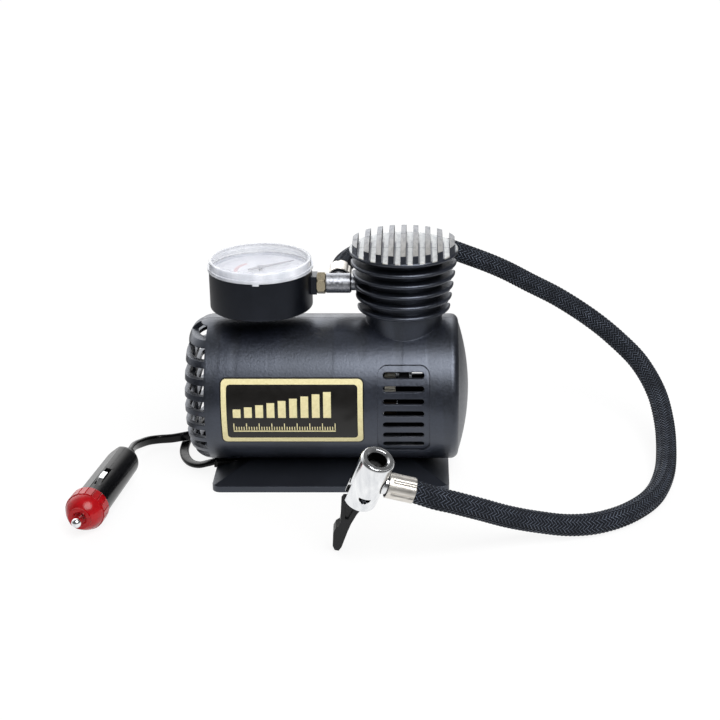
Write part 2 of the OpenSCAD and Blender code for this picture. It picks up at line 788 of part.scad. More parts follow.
module cylinder_gasket() {
    color("#5a2f25") translate([tower_x, 0, gasket_z]) difference() {
        ring(head_plate_r, bore_r, gasket_t);
        translate([-tower_x, 0, 0]) at_head_bolts() translate([0, 0, -1]) cylinder(r = bolt_r + seat, h = 4);
    }
}

// Carries the inlet and outlet holes and their thin reeds
module valve_plate() {
    color("#c2c4c6") translate([tower_x, 0, gasket_z + gasket_t]) {
        difference() {
            cylinder(r = head_plate_r, h = plate_t);
            for (s = [-1, 1]) translate([s * 4.5, 0, -1]) cylinder(r = 1.4, h = 4);
            translate([-tower_x, 0, 0]) at_head_bolts() translate([0, 0, -1]) cylinder(r = bolt_r + seat, h = 4);
        }
        translate([-6.5, -2, plate_t]) cube([11, 4, 0.3]);
    }
}

module pump_head() {
    color("#b1b4b8") translate([tower_x, 0, pump_head_z]) difference() {
        union() {
            cylinder(r = head_plate_r, h = pump_head_h - 2);
            cylinder(r = head_plate_r - 4.5, h = pump_head_h);
        }
        translate([0, 0, -1]) cylinder(r = 10.5, h = pump_head_h - 3);
        translate([-head_plate_r - 1, 0, line_z - pump_head_z]) along_x()
            cylinder(r = nipple_d / 2 - 0.8 + seat, h = 12);
        translate([-tower_x, 0, 0]) at_head_bolts() translate([0, 0, -1])
            cylinder(r = bolt_r + seat, h = pump_head_h + 2);
    }
}

module head_screws() {
    top = pump_head_z + pump_head_h - 2;
    color("#8d9196") at_head_bolts() translate([0, 0, top])
        pan_screw(bolt_r, 2.1, 1.6, top - cylinder_z + shelf_t);
}

// ---------- Outlet and gauge ----------

manifold_x1 = tower_x - fin_r + 1;
manifold_x0 = manifold_x1 - manifold_len;
hose_x = manifold_x0 + manifold_len / 2;
port_y = 6;
channel_r = 1.6;
nut_len = 4.3;

module outlet_nipple() {
    reach_x = tower_x - head_plate_r;
    color("#b9bbbd") translate([manifold_x1, 0, line_z]) along_x() difference() {
        union() {
            cylinder(r = nipple_d / 2, h = reach_x - manifold_x1);
            cylinder(r = nipple_d / 2 - 0.8, h = reach_x + 4 - manifold_x1);
        }
        translate([0, 0, -1]) cylinder(r = channel_r, h = reach_x + 6 - manifold_x1);
    }
}

module outlet_manifold() {
    color("#a9a8a4") difference() {
        union() {
            translate([manifold_x0, 0, line_z]) along_x() {
                translate([0, 0, 0.6]) cylinder(r = manifold_d / 2, h = manifold_len - 1.2);
                cylinder(r1 = manifold_d / 2 - 0.6, r2 = manifold_d / 2, h = 0.6);
                translate([0, 0, manifold_len - 0.6])
                    cylinder(r1 = manifold_d / 2, r2 = manifold_d / 2 - 0.6, h = 0.6);
            }
            translate([hose_x, 0, line_z]) along_y() cylinder(r = manifold_d / 2 - 0.5, h = port_y);
        }
        translate([manifold_x0 - 1, 0, line_z]) along_x() cylinder(r = channel_r, h = manifold_len + 2);
        translate([hose_x, 0, line_z]) along_y() cylinder(r = channel_r, h = port_y + 1);
    }
}

module gauge_nut() {
    color("#b8913f") translate([manifold_x0 - nut_len, 0, line_z]) along_x() difference() {
        intersection() {
            cylinder(r = 5.8, h = nut_len, $fn = 6);
            cylinder(r1 = 5.2, r2 = 5.2 + nut_len, h = nut_len);
            cylinder(r1 = 5.2 + nut_len, r2 = 5.2, h = nut_len);
        }
        translate([0, 0, -1]) cylinder(r = 3, h = nut_len + 2);
    }
}

gauge_r = gauge_d / 2;
gauge_wall = 1.6;
dial_z = gauge_z + gauge_h - 1.6;
dial_t = 0.6;
stem_r = 3 - seat;
stem_w = 9.4;

// Drum with its square stem, which runs through the nut to the manifold
module gauge_case() {
    color("#141416") difference() {
        union() {
            translate([gauge_x, 0, gauge_z]) rotate_extrude() {
                square([gauge_r - 1, gauge_h]);
                translate([0, 1]) square([gauge_r, gauge_h - 1]);
                translate([gauge_r - 1, 1]) circle(1);
            }
            translate([gauge_x + gauge_r - 3, -stem_w / 2, line_z - stem_w / 2])
                cube([manifold_x0 - nut_len - gauge_x - gauge_r + 3, stem_w, stem_w]);
            translate([gauge_x + gauge_r, 0, line_z]) along_x()
                cylinder(r = stem_r, h = manifold_x0 - gauge_x - gauge_r);
        }
        translate([gauge_x, 0, gauge_z + gauge_wall]) cylinder(r = gauge_r - gauge_wall - 0.8, h = gauge_h);
        translate([gauge_x, 0, dial_z - 0.4]) cylinder(r = gauge_r - gauge_wall, h = gauge_h);
        translate([gauge_x + gauge_r - 8, 0, line_z]) along_x() cylinder(r = channel_r, h = gauge_r);
    }
}

// Curved pressure tube, its socket and the plate that carries the needle's spindle
module gauge_movement() {
    floor_z = gauge_z + gauge_wall;
    socket_x = gauge_r - gauge_wall - 0.8;
    block = [7.7, 10, 8];
    bridge = [20, 10, 1.2];
    color("#b8955a") translate([gauge_x, 0, 0]) {
        difference() {
            union() {
                translate([socket_x - 0.8 - block[0], -block[1] / 2, line_z - block[2] / 2]) cube(block);
                translate([0, 0, line_z - 3]) rotate([0, 0, 12]) rotate_extrude(angle = 250)
                    translate([17, 0]) square([2.2, 6]);
            }
            translate([socket_x - 7, 0, line_z]) along_x() cylinder(r = channel_r, h = 10);
        }
        difference() {
            union() {
                translate([-9, -bridge[1] / 2, dial_z - 3.2]) cube(bridge);
                for (x = [-8, 6]) translate([x, -4, floor_z]) cube([1.6, 8, dial_z - 3.2 - floor_z + 0.1]);
            }
            translate([0, 0, dial_z - 5]) cylinder(r = spindle_r + run_fit, h = 6);
        }
    }
}

spindle_r = 0.8;
needle_z = dial_z + dial_t + 0.7;
needle_rest = 34;

module gauge_dial() {
    color("#f3f3ef") translate([gauge_x, 0, dial_z - 0.4])
        ring(gauge_r - gauge_wall - seat, spindle_r + 0.4, dial_t);
}

module gauge_needle() {
    color("#5c5f63") translate([gauge_x, 0, 0]) {
        translate([0, 0, dial_z - 4]) cylinder(r = spindle_r, h = needle_z - dial_z + 4.2);
        translate([0, 0, needle_z]) cylinder(r = 1.7, h = 1.1);
        translate([0, 0, needle_z + 0.2]) rotate([0, 0, needle_rest]) linear_extrude(0.5)
            polygon([[-7, -0.75], [-7, 0.75], [0, 1], [19.5, 0.25], [19.5, -0.25], [0, -1]]);
    }
}

crystal_r = gauge_r + 0.6;

// Clear cap with a raised rim and a small locating tab at the front
module gauge_crystal() {
    base = gauge_z + gauge_h;
    color([0.85, 0.9, 0.95, 0.45]) translate([gauge_x, 0, base]) {
        difference() {
            rotate_extrude() {
                square([crystal_r, 1.6]);
                square([crystal_r - 0.9, crystal_h - 0.6]);
                translate([crystal_r - 3.2, 0]) square([1.7, crystal_h]);
                translate([crystal_r - 1.5, crystal_h - 0.6]) circle(0.6);
            }
            translate([0, 0, -1]) cylinder(r = gauge_r - gauge_wall - 0.2, h = crystal_h - 0.8);
        }
        translate([-1.6, -crystal_r, -1]) cube([3.2, crystal_r - gauge_r, 1.4]);
    }
}

// ---------- Hose ----------

ferrule_len = 13;
crimp_depth = 0.4;

// Sleeve crimped in lengthwise grooves between two round lips
module ferrule(len) {
    lip = 1.8;
    groove_r = 2.6;
    difference() {
        cylinder(r = ferrule_d / 2, h = len);
        translate([0, 0, -1]) cylinder(r = hose_d / 2 + seat, h = len + 2);
        for (a = [0 : 60 : 300]) rotate([0, 0, a + 22])
            translate([ferrule_d / 2 + groove_r - crimp_depth, 0, lip]) cylinder(r = groove_r, h = len);
    }
}

module hose_ferrule() {
    color("#a3a29e") translate([hose_x, port_y, line_z]) along_y() ferrule(ferrule_len);
}

// A Catmull-Rom curve through the points, n samples to each span
function spline_at(p, i, t) =
    let (last = len(p) - 1,
         a = p[max(0, i - 1)], b = p[i], c = p[min(last, i + 1)], d = p[min(last, i + 2)])
    0.5 * (2 * b + (c - a) * t + (2 * a - 5 * b + 4 * c - d) * t * t + (3 * b - a - 3 * c + d) * t * t * t);
function spline(p, n) = concat(
    [for (i = [0 : len(p) - 2]) each [for (k = [0 : n - 1]) spline_at(p, i, k / n)]], [p[len(p) - 1]]);
function unit(v) = v / norm(v);
function heading(c, i) = unit(c[min(len(c) - 1, i + 1)] - c[max(0, i - 1)]);

// One closed tube along a path, w wide and h high, that rolls over by turn in its first half
module tube(path, w, h, sides, turn = 0) {
    rings = [for (i = [0 : len(path) - 1])
        let (t = heading(path, i), flat = unit(cross(t, [0, 0, 1])), rise = cross(flat, t),
             a = turn * min(1, 2 * i / (len(path) - 1)),
             s = flat * cos(a) + rise * sin(a), u = rise * cos(a) - flat * sin(a))
        [for (k = [0 : sides - 1]) path[i] + s * (w / 2 * cos(360 * k / sides)) + u * (h / 2 * sin(360 * k / sides))]];
    n = len(path);
    polyhedron([for (r = rings) each r], concat(
        [[for (k = [0 : sides - 1]) k]],
        [for (i = [0 : n - 2]) for (k = [0 : sides - 1]) let (m = (k + 1) % sides)
            [i * sides + k, (i + 1) * sides + k, (i + 1) * sides + m, i * sides + m]],
        [[for (k = [sides - 1 : -1 : 0]) (n - 1) * sides + k]]));
}

// Route of the hose, laid by hand from the manifold round the back to the chuck
HOSE_ROUTE = [[hose_x, port_y, 102], [hose_x, 14, 102], [5.6, 21.5, 102.1], [7.3, 31.7, 102.5],
    [11.6, 42, 102.9], [18.4, 51.1, 103.1], [28.1, 58.8, 102.9], [40.6, 64, 102.2], [59, 66.6, 100],
    [74, 66.2, 95.2], [92, 69, 87], [109, 74, 76.5], [126, 77, 66.5], [144, 75, 55], [158, 69, 45], [170, 57, 35.5],
    [177.5, 39, 25.5], [179.5, 18, 17], [178, -5, 10.5], [174, -27, 6.4], [165, -51, 5.6], [151, -69, 5.6],
    [135, -79.5, 5.6], [120, -84.5, 6.8], [105, -89.5, 11], [90, -96, 17.2], [76, -102, 24.3],
    [63, -106.8, 30.4], [54, -109.2, 33.9]];

module air_hose() {
    end_at = chuck_point([ferrule_foot + ferrule_len - 3, 0, port_h]);
    start_at = chuck_point([ferrule_foot, 0, port_h]);
    color("#26262b") tube(spline(concat(HOSE_ROUTE, [end_at, start_at]), 2), hose_d, hose_d, 12);
}

// ---------- Chuck ----------

chuck_at = [19.2, -108.6, 33];
chuck_turn = [22.3, 17.1, 6.9];
port_h = 13.4;
ferrule_foot = chuck_d / 2 + 1;
pivot_h = 7;
pivot_r = 1.5;
fork_w = 6;
lever_t = fork_w - 0.5;
chuck_bore_r = 6;
lever_head_r = 3.2;
plunger_foot = pivot_h + lever_head_r + air;
seal_foot = 17;
seal_hole_r = 2.2;
window_rise = 1.9;
lip_foot = 23.6;

// A point of the chuck's own frame in the frame of the whole inflator
function turn_x(v, a) = [v[0], v[1] * cos(a) - v[2] * sin(a), v[1] * sin(a) + v[2] * cos(a)];
function turn_y(v, a) = [v[0] * cos(a) + v[2] * sin(a), v[1], v[2] * cos(a) - v[0] * sin(a)];
function turn_z(v, a) = [v[0] * cos(a) - v[1] * sin(a), v[0] * sin(a) + v[1] * cos(a), v[2]];
function chuck_point(v) = chuck_at + turn_z(turn_y(turn_x(v, chuck_turn[0]), chuck_turn[1]), chuck_turn[2]);

module in_chuck() {
    translate(chuck_at) rotate(chuck_turn) children();
}

module chuck_body() {
    mouth = 1.2;
    color("#c9cbcd") in_chuck() difference() {
        union() {
            rotate_extrude() {
                square([chuck_d / 2 - 0.8, chuck_len]);
                translate([0, 0.8]) square([chuck_d / 2, chuck_len - 2.4]);
                translate([chuck_d / 2 - 0.8, 0.8]) circle(0.8);
                translate([chuck_d / 2 - 1.6, chuck_len - 1.6]) circle(1.6);
                square([chuck_d / 2 - 1.6, chuck_len]);
            }
            translate([0, 0, port_h]) along_x() cylinder(r = 4.6, h = ferrule_foot);
        }
        translate([0, 0, plunger_foot - air]) cylinder(r = chuck_bore_r, h = lip_foot - plunger_foot + air);
        translate([0, 0, lip_foot - 1]) cylinder(r = valve_bore_d / 2, h = chuck_len);
        translate([0, 0, chuck_len - mouth]) cylinder(r1 = valve_bore_d / 2, r2 = valve_bore_d / 2 + mouth + 0.4,
            h = mouth + 0.4);
        translate([-chuck_d, -fork_w / 2, -1])
            cube([chuck_d + lever_head_r + 0.6, fork_w, plunger_foot + seal_travel + 1]);
        translate([0, chuck_d, pivot_h]) rotate([90, 0, 0]) cylinder(r = pivot_r, h = 2 * chuck_d);
        // D-shaped windows over the ends of the pivot pin
        for (s = [0, 180]) rotate([0, 0, s]) intersection() {
            translate([0, 0, pivot_h + window_rise]) rotate([90, 0, 0]) cylinder(r = 2.9, h = chuck_d);
            translate([-chuck_d, -chuck_d, pivot_h - 0.6]) cube([2 * chuck_d, chuck_d, window_rise + 0.6]);
        }
        translate([chuck_bore_r - 1, 0, port_h]) along_x() cylinder(r = channel_r, h = chuck_d);
    }
}

module chuck_pivot_pin() {
    reach = chuck_d / 2 - 0.4 - pivot_r;
    color("#d9dbdd") in_chuck() translate([0, reach, pivot_h]) rotate([90, 0, 0]) {
        cylinder(r = pivot_r, h = 2 * reach);
        for (z = [0, 2 * reach]) translate([0, 0, z]) sphere(pivot_r);
    }
}

// Thumb lever: round head with a cam on the pivot, broad root, waist and paddle
module chuck_lever() {
    head_r = lever_head_r;
    tip_z = pivot_h - lever_len;
    color("#18181a") in_chuck() difference() {
        translate([0, lever_t / 2, 0]) rotate([90, 0, 0]) linear_extrude(lever_t) {
            translate([0, pivot_h]) circle(head_r);
            // Cam that lifts the plunger as the lever is flipped
            translate([0, pivot_h]) polygon([[0, 0], for (k = [0 : 6])
                (head_r + seal_travel * k / 6) * [-sin(15 * k), cos(15 * k)]]);
            polygon([[-head_r, pivot_h], [-head_r, 2], [-4.1, -0.8], [-7.4, -1.8], [-7.8, -4], [-4.9, -15],
                [-4.4, -18.5], [-5.6, -20.5], [-5.8, -24], [-3.4, tip_z + 2.5], [-1.7, tip_z], [0.3, tip_z],
                [0.9, tip_z + 3], [0.4, -20.5], [0.4, -15], [1, -8], [head_r, 2], [head_r, pivot_h]]);
        }
        translate([0, chuck_d, pivot_h]) rotate([90, 0, 0]) cylinder(r = pivot_r + run_fit, h = 2 * chuck_d);
        // Moulded pockets in both sides of the root
        for (s = [-1, 1]) translate([0, s * lever_t / 2 + 0.8, 0]) rotate([90, 0, 0]) linear_extrude(1.6)
            polygon([[-5.9, -4.2], [-1.2, -4.2], [-1.9, -12.5], [-3.4, -12.5]]);
        // Hollow for the thumb across the paddle
        translate([-16.6, lever_t / 2 - 1, tip_z + 7]) rotate([90, 0, 0]) cylinder(r = 12, h = lever_t - 2);
    }
}

module chuck_plunger() {
    color("#b9954a") in_chuck() difference() {
        union() {
            translate([0, 0, plunger_foot]) cylinder(r = chuck_bore_r - run_fit, h = 1.5);
            translate([0, 0, plunger_foot]) cylinder(r = 3.4, h = seal_foot - plunger_foot);
            translate([0, 0, seal_foot - 1.5]) cylinder(r = chuck_bore_r - run_fit, h = 1.5);
            translate([0, 0, seal_foot]) cylinder(r = 1.5, h = 4);
        }
        translate([0, -chuck_bore_r, port_h]) along_y() cylinder(r = 0.9, h = 2 * chuck_bore_r);
        translate([0, 0, port_h]) cylinder(r = 0.8, h = chuck_len);
    }
}

module chuck_seal() {
    color("#3a3a3a") in_chuck() translate([0, 0, seal_foot])
        ring(chuck_bore_r - run_fit, seal_hole_r, lip_foot - seal_foot - seal_travel - air);
}

module chuck_ferrule() {
    color("#b4b5b6") in_chuck() translate([ferrule_foot, 0, port_h]) along_x() ferrule(ferrule_len);
}

// ---------- Power lead ----------

module cord_grommet() {
    color("#151517") translate([grommet_x0, grommet_y, grommet_z]) rotate([0, 90, 0]) difference() {
        linear_extrude(grommet_x1 - grommet_x0) round_rect(grommet_h, grommet_w, 1.2);
        for (s = [-1, 1]) translate([-grommet_h, s * grommet_w / 2 - 0.7, 0.6]) cube([2 * grommet_h, 1.4, 0.7]);
    }
}

// Routes of the lead, laid by hand: from the grommet to the coil, and from the coil to the plug
NEAR_ROUTE = [[grommet_x0, grommet_y, grommet_z], [-65.5, -7.4, 3.4], [-70, -6.8, 2.2], [-74.5, -3.5, 1.6],
    [-78, 2.5, 1.4], [-80.2, 10, 1.4], [-81, 19, 1.4], [-80.2, 32, 1.4], [-77, 48, 1.5], [-72, 62, 2],
    [-67, 75, 3.4], [-64, 88, 4.75]];
FAR_ROUTE = [[-29, 55, 7.55], [-41, 53.4, 5.8], [-52.5, 49.5, 3.8], [-62.5, 42.5, 2.8], [-70, 33.5, 3.8],
    [-76, 26.4, 5.1], [-82, 22.6, 5.4], [-88.5, 22.2, 4.4], [-95, 22.4, 3.8], [-100.5, 19.2, 4.4],
    [-104.2, 12.5, 5.8], [-106.2, 4, 7.9]];

module cord_lead_near() {
    color("#131315") tube(NEAR_ROUTE, lead_w, lead_t, 8);
}

module cord_lead_far() {
    color("#131315") tube(concat(FAR_ROUTE, [plug_point(-relief_len)]), lead_w, lead_t, 8, 90);
}

module cord_coil() {
    color("#131315") translate([-29, 88, 0]) rotate_extrude()
        translate([coil_d / 2, coil_bundle_h / 2]) round_rect(coil_bundle_w, coil_bundle_h, 2);
}

// ---------- Lighter plug ----------

plug_at = [-107.4, -15.4, 10.1];
plug_heading = -98.8;
plug_roll = 76;
flat_turn = 142;
flat_depth = 1.8;
relief_len = 7;
nose_grip = 7;
nose_h = 15;
nose_neck_r = 6.4;
nose_collar_r = 5.6;
tip_r = 2.4;
shell_wall = 2;
fuse_r = 3;

// A point of the plug's axis, h above its tail, in the frame of the whole inflator
function plug_point(h) = plug_at + turn_z([h, 0, 0], plug_heading);

// The plug's own frame: its axis upwards from the lead's end to the tip
module in_plug() {
    translate(plug_at) rotate([0, 0, plug_heading]) rotate([0, 90, 0]) rotate([0, 0, plug_roll]) children();
}

module plug_shell() {
    tail_round = 4.5;
    difference() {
        union() {
            translate([0, 0, tail_round]) cylinder(r1 = plug_tail_d / 2, r2 = plug_d / 2, h = plug_len - tail_round);
            rotate_extrude() {
                square([plug_tail_d / 2 - tail_round, tail_round]);
                translate([plug_tail_d / 2 - tail_round, tail_round]) intersection() {
                    circle(tail_round);
                    translate([-1, -tail_round]) square([tail_round + 1, tail_round]);
                }
            }
            translate([0, 0, plug_len - 1]) cylinder(r = nose_neck_r, h = 7);
        }
        // Flat panel along the shell
        rotate([0, 0, flat_turn]) translate([plug_d / 2 - flat_depth, -plug_d, -1]) cube([plug_d, 2 * plug_d, plug_len + 1]);
        translate([0, 0, 7]) cylinder(r = nose_neck_r - shell_wall + 0.4, h = plug_len);
        translate([0, 0, -1]) cylinder(r = 2.6, h = 9);
        // Windows for the two side contacts
        for (s = [-1, 1]) translate([-1.5, s > 0 ? 0 : -plug_d, plug_len - 25]) cube([3, plug_d, 19]);
    }
}

module plug_shell_left() {
    color("#1a1a1c") in_plug() intersection() {
        plug_shell();
        translate([-plug_d - 0.05, -plug_d, -1]) cube([plug_d, 2 * plug_d, plug_len + 10]);
    }
}

module plug_shell_right() {
    color("#1a1a1c") in_plug() intersection() {
        plug_shell();
        translate([0.05, -plug_d, -1]) cube([plug_d, 2 * plug_d, plug_len + 10]);
    }
}

module plug_strain_relief() {
    color("#131315") in_plug() difference() {
        union() {
            translate([0, 0, -relief_len]) cylinder(r1 = lead_w / 2 + 0.5, r2 = lead_w / 2 + 1, h = relief_len);
            translate([0, 0, -2.2]) cylinder(r = 4.4, h = 2.2);
            cylinder(r = 2.5, h = 6);
        }
        translate([-5, -5, -5]) cube([2, 10, 0.8]);
        translate([3, -5, -5]) cube([2, 10, 0.8]);
    }
}

// Red screwed nose: facetted grip and a dome with a flat face round the tip
module plug_nose() {
    color("#c3141c") in_plug() translate([0, 0, plug_len]) difference() {
        union() {
            linear_extrude(nose_grip) polygon([for (i = [0 : 17]) for (k = [-1 : 1])
                (nose_d / 2 - (k == 0 ? 0.5 : 0)) * [cos(i * 20 + k * 2), sin(i * 20 + k * 2)]]);
            intersection() {
                translate([0, 0, nose_grip - 1.2]) sphere(nose_d / 2 - 0.4);
                translate([0, 0, nose_grip]) cylinder(r = nose_d, h = nose_h - nose_grip);
            }
            cylinder(r = nose_collar_r, h = nose_h);
        }
        translate([0, 0, nose_h - 1]) cylinder(r1 = tip_r + 0.4, r2 = tip_r + 1.4, h = 1);
        translate([0, 0, -1]) cylinder(r = nose_neck_r + seat, h = 7.2);
        translate([0, 0, -1]) cylinder(r = fuse_r + 0.5, h = nose_h + 1 - tip_lip);
        cylinder(r = tip_r + run_fit, h = nose_h + 1);
    }
}

tip_lip = 3;
tip_shoulder = 1.2;
tip_foot = plug_len + nose_h - tip_lip - tip_shoulder - seat;

module plug_tip() {
    out = tip_travel + 3.4;
    color("#d6d8da") in_plug() {
        translate([0, 0, tip_foot]) cylinder(r = fuse_r, h = tip_shoulder);
        translate([0, 0, tip_foot]) cylinder(r = tip_r, h = nose_h + plug_len + out - tip_r - tip_foot);
        translate([0, 0, nose_h + plug_len + out - tip_r]) sphere(tip_r);
    }
}

fuse_len = 24;
spring_len = 12;
fuse_foot = tip_foot - fuse_len;

// Closed solid of the coil spring that pushes fuse and tip forwards
module plug_spring() {
    color("#9b9ea2") in_plug() translate([0, 0, fuse_foot - spring_len])
        ring(fuse_r, fuse_r - 0.8, spring_len);
}

module plug_fuse() {
    color("#cfd3d6") in_plug() translate([0, 0, fuse_foot]) {
        cylinder(r = fuse_r, h = 6);
        cylinder(r = fuse_r - 0.3, h = fuse_len);
        translate([0, 0, fuse_len - 6]) cylinder(r = fuse_r, h = 6);
    }
}

// Bowed side contact that springs inwards in its window
module plug_contact() {
    len = 17;
    out = plug_d / 2 + contact_travel - 0.1;
    translate([-1.2, 0, plug_len - 24]) rotate([90, 0, 90]) linear_extrude(2.4)
        polygon([[out - 3.4, 0.4], [out - 2.9, 0], [out - 0.3, 5], [out, 8.5], [out - 0.3, 12], [out - 2.9, len],
            [out - 3.4, len - 0.4], [out - 1, 11.6], [out - 0.8, 8.5], [out - 1, 5.4]]);
}

module plug_contact_top() {
    color("#d0d2d4") in_plug() plug_contact();
}

module plug_contact_bottom() {
    color("#d0d2d4") in_plug() mirror([0, 1, 0]) plug_contact();
}

housing_front();
housing_back();
housing_screws();
base_foot();
base_screws();
label_plate();
gearbox_frame();
axle_bearing();
motor_can();
motor_end_cap();
motor_magnets();
motor_terminals();
motor_screws();
motor_shaft();
motor_rotor();
motor_commutator();
motor_pinion();
crank_gear();
gear_axle();
crank_pin();
connecting_rod();
piston();
piston_ring();
wrist_pin();
pump_cylinder();
cylinder_gasket();
valve_plate();
pump_head();
head_screws();
outlet_nipple();
outlet_manifold();
gauge_nut();
gauge_case();
gauge_movement();
gauge_dial();
gauge_needle();
gauge_crystal();
hose_ferrule();
air_hose();
chuck_ferrule();
chuck_body();
chuck_seal();
chuck_plunger();
chuck_pivot_pin();
chuck_lever();
cord_grommet();
cord_lead_near();
cord_coil();
cord_lead_far();
plug_shell_left();
plug_shell_right();
plug_nose();
plug_tip();
plug_spring();
plug_fuse();
plug_contact_top();
plug_contact_bottom();
plug_strain_relief();
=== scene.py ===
"""Looks of a portable tire inflator: its finishes, its braided air hose, its power lead, the print
on its label and dial, and a plain white stage."""

import json
import math

import bpy
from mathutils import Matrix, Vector


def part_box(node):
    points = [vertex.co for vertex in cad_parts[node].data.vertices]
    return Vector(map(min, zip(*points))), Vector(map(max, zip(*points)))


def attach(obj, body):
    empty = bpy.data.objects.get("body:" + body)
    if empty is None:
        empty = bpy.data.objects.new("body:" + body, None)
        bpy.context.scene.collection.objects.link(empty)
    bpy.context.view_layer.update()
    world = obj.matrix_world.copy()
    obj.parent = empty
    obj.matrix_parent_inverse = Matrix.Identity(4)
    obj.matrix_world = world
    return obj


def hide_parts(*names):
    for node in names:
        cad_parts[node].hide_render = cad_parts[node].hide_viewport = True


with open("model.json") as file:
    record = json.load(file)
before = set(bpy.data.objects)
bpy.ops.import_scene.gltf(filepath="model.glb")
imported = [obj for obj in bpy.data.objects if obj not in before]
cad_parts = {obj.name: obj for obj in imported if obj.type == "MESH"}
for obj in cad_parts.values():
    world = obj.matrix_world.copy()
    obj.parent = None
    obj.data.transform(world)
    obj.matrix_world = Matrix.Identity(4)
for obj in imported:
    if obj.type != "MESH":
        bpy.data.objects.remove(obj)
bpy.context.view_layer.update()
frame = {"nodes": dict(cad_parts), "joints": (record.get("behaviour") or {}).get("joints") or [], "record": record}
NODES = frame["nodes"]
JOINTS = {joint["name"]: joint for joint in frame["joints"]}
MOUNTS = {mount["name"]: mount for mount in frame["record"]["mounts"]}

MM = 0.001
UP = Vector((0, 0, 1))


def mm(*values):
    """A point given in millimetres, in metres."""
    return Vector(values) * MM


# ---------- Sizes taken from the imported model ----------

housing_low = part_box("housing_front")[0]
label_low, label_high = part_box("label_plate")
dial_low, dial_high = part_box("gauge_dial")
crystal_low, crystal_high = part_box("gauge_crystal")
cylinder_low, cylinder_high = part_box("pump_cylinder")

# The label lies on the barrel's front, so it gives the barrel's radius
BARREL_R = -label_low.y
TOWER_X = (cylinder_low.x + cylinder_high.x) / 2
AXIS_Z = housing_low.z + BARREL_R
GAUGE = Vector(((dial_low.x + dial_high.x) / 2, 0, dial_high.z))
DIAL_R = (dial_high.x - dial_low.x) / 2
CRYSTAL_R = (crystal_high.y - crystal_low.y) / 2

# ---------- Head, chuck and plug, with sizes that repeat the part's source ----------

# The head: the radius of its top and the height of the floor between its ribs
FIN_R = 27.9 * MM
HEAD_Z = 121.1 * MM
RIB_PITCH = 6.15 * MM
RIB_T = 2.6 * MM

# The chuck's own frame: Z to its mouth, Y along the pivot pin, X towards the hose
CHUCK_Z = Vector(MOUNTS["tyre_valve_bore"]["axis"])
CHUCK_Y = Vector(JOINTS["lever_flip"]["axis"])
CHUCK_X = CHUCK_Y.cross(CHUCK_Z)
PIVOT = Vector(JOINTS["lever_flip"]["pos_m"])
PIVOT_H = 7 * MM
PORT_H = 13.4 * MM
FERRULE_FOOT = 9 * MM
FERRULE_LEN = 13 * MM
CHUCK_BORE_R = 4.2 * MM


def chuck_point(x, y, z):
    """A point of the chuck's own frame, z counted from its foot."""
    return PIVOT + CHUCK_X * x + CHUCK_Y * y + CHUCK_Z * (z - PIVOT_H)


# The plug: the way it points, the length of its shell and where its lead goes in
PLUG_Z = -Vector(JOINTS["tip_press"]["axis"])
PLUG_LEN = 55 * MM
PLUG_AT = Vector(MOUNTS["lighter_plug"]["pos_m"]) - PLUG_Z * PLUG_LEN


# ---------- Shader helpers ----------

def linear(code, alpha=1.0):
    """An sRGB hex colour as linear red, green, blue and alpha."""
    parts = [int(code[i:i + 2], 16) / 255 for i in (1, 3, 5)]
    return [c / 12.92 if c <= 0.04045 else ((c + 0.055) / 1.055) ** 2.4 for c in parts] + [alpha]


def per_mm(size):
    """Texture scale that draws features of this size in millimetres."""
    return 1 / (size * MM)


def new_material(name, **sockets):
    """A material with one Principled shader, whose constant values are set on its own sockets."""
    made = bpy.data.materials.new(name)
    made.use_nodes = True
    shader = made.node_tree.nodes["Principled BSDF"]
    for socket, value in sockets.items():
        shader.inputs[socket.replace("_", " ")].default_value = value
    return made, made.node_tree, shader


def add(tree, kind, inputs=None, **settings):
    """Adds a node; its inputs are values or the sockets that feed them."""
    node = tree.nodes.new(kind)
    for name, value in settings.items():
        setattr(node, name, value)
    for key, value in (inputs or {}).items():
        if isinstance(value, bpy.types.NodeSocket):
            tree.links.new(value, node.inputs[key])
        else:
            node.inputs[key].default_value = value
    return node


def math_node(tree, operation, a, b=0.0, clamp=False):
    """The result of one operation on two numbers or sockets."""
    return add(tree, "ShaderNodeMath", {0: a, 1: b}, operation=operation, use_clamp=clamp).outputs[0]


def coords(tree):
    """Where the surface is, in metres, in the frame of the piece."""
    return add(tree, "ShaderNodeTexCoord").outputs["Object"]


def grain(tree, size, detail=2.0, stretch=None):
    """Noise with features of a size in millimetres, drawn out along stretch."""
    where = coords(tree)
    if stretch:
        where = add(tree, "ShaderNodeMapping", {"Vector": where, "Scale": stretch}).outputs[0]
    inputs = {"Vector": where, "Scale": per_mm(size), "Detail": detail}
    return add(tree, "ShaderNodeTexNoise", inputs).outputs["Fac"]


def spread(tree, value, low, high, to_low=0.0, to_high=1.0, smooth=False):
    """Maps low..high to to_low..to_high and holds the ends."""
    kind = "SMOOTHSTEP" if smooth else "LINEAR"
    ranges = {"Value": value, "From Min": low, "From Max": high, "To Min": to_low, "To Max": to_high}
    return add(tree, "ShaderNodeMapRange", ranges, interpolation_type=kind).outputs["Result"]


def between(tree, marks, low=0.0, high=1.0):
    """Maps the usual span of noise to low..high."""
    return spread(tree, marks, 0.3, 0.7, low, high)


def blend(tree, factor, one, other):
    """Blends two numbers, given as values or sockets."""
    return add(tree, "ShaderNodeMix", {0: factor, 2: one, 3: other}).outputs[0]


def mixed(tree, factor, one, other):
    """Blends two colours, given as hex codes or sockets."""
    ends = [linear(c) if isinstance(c, str) else c for c in (one, other)]
    node = add(tree, "ShaderNodeMix", {0: factor, 6: ends[0], 7: ends[1]}, data_type="RGBA")
    return node.outputs[2]


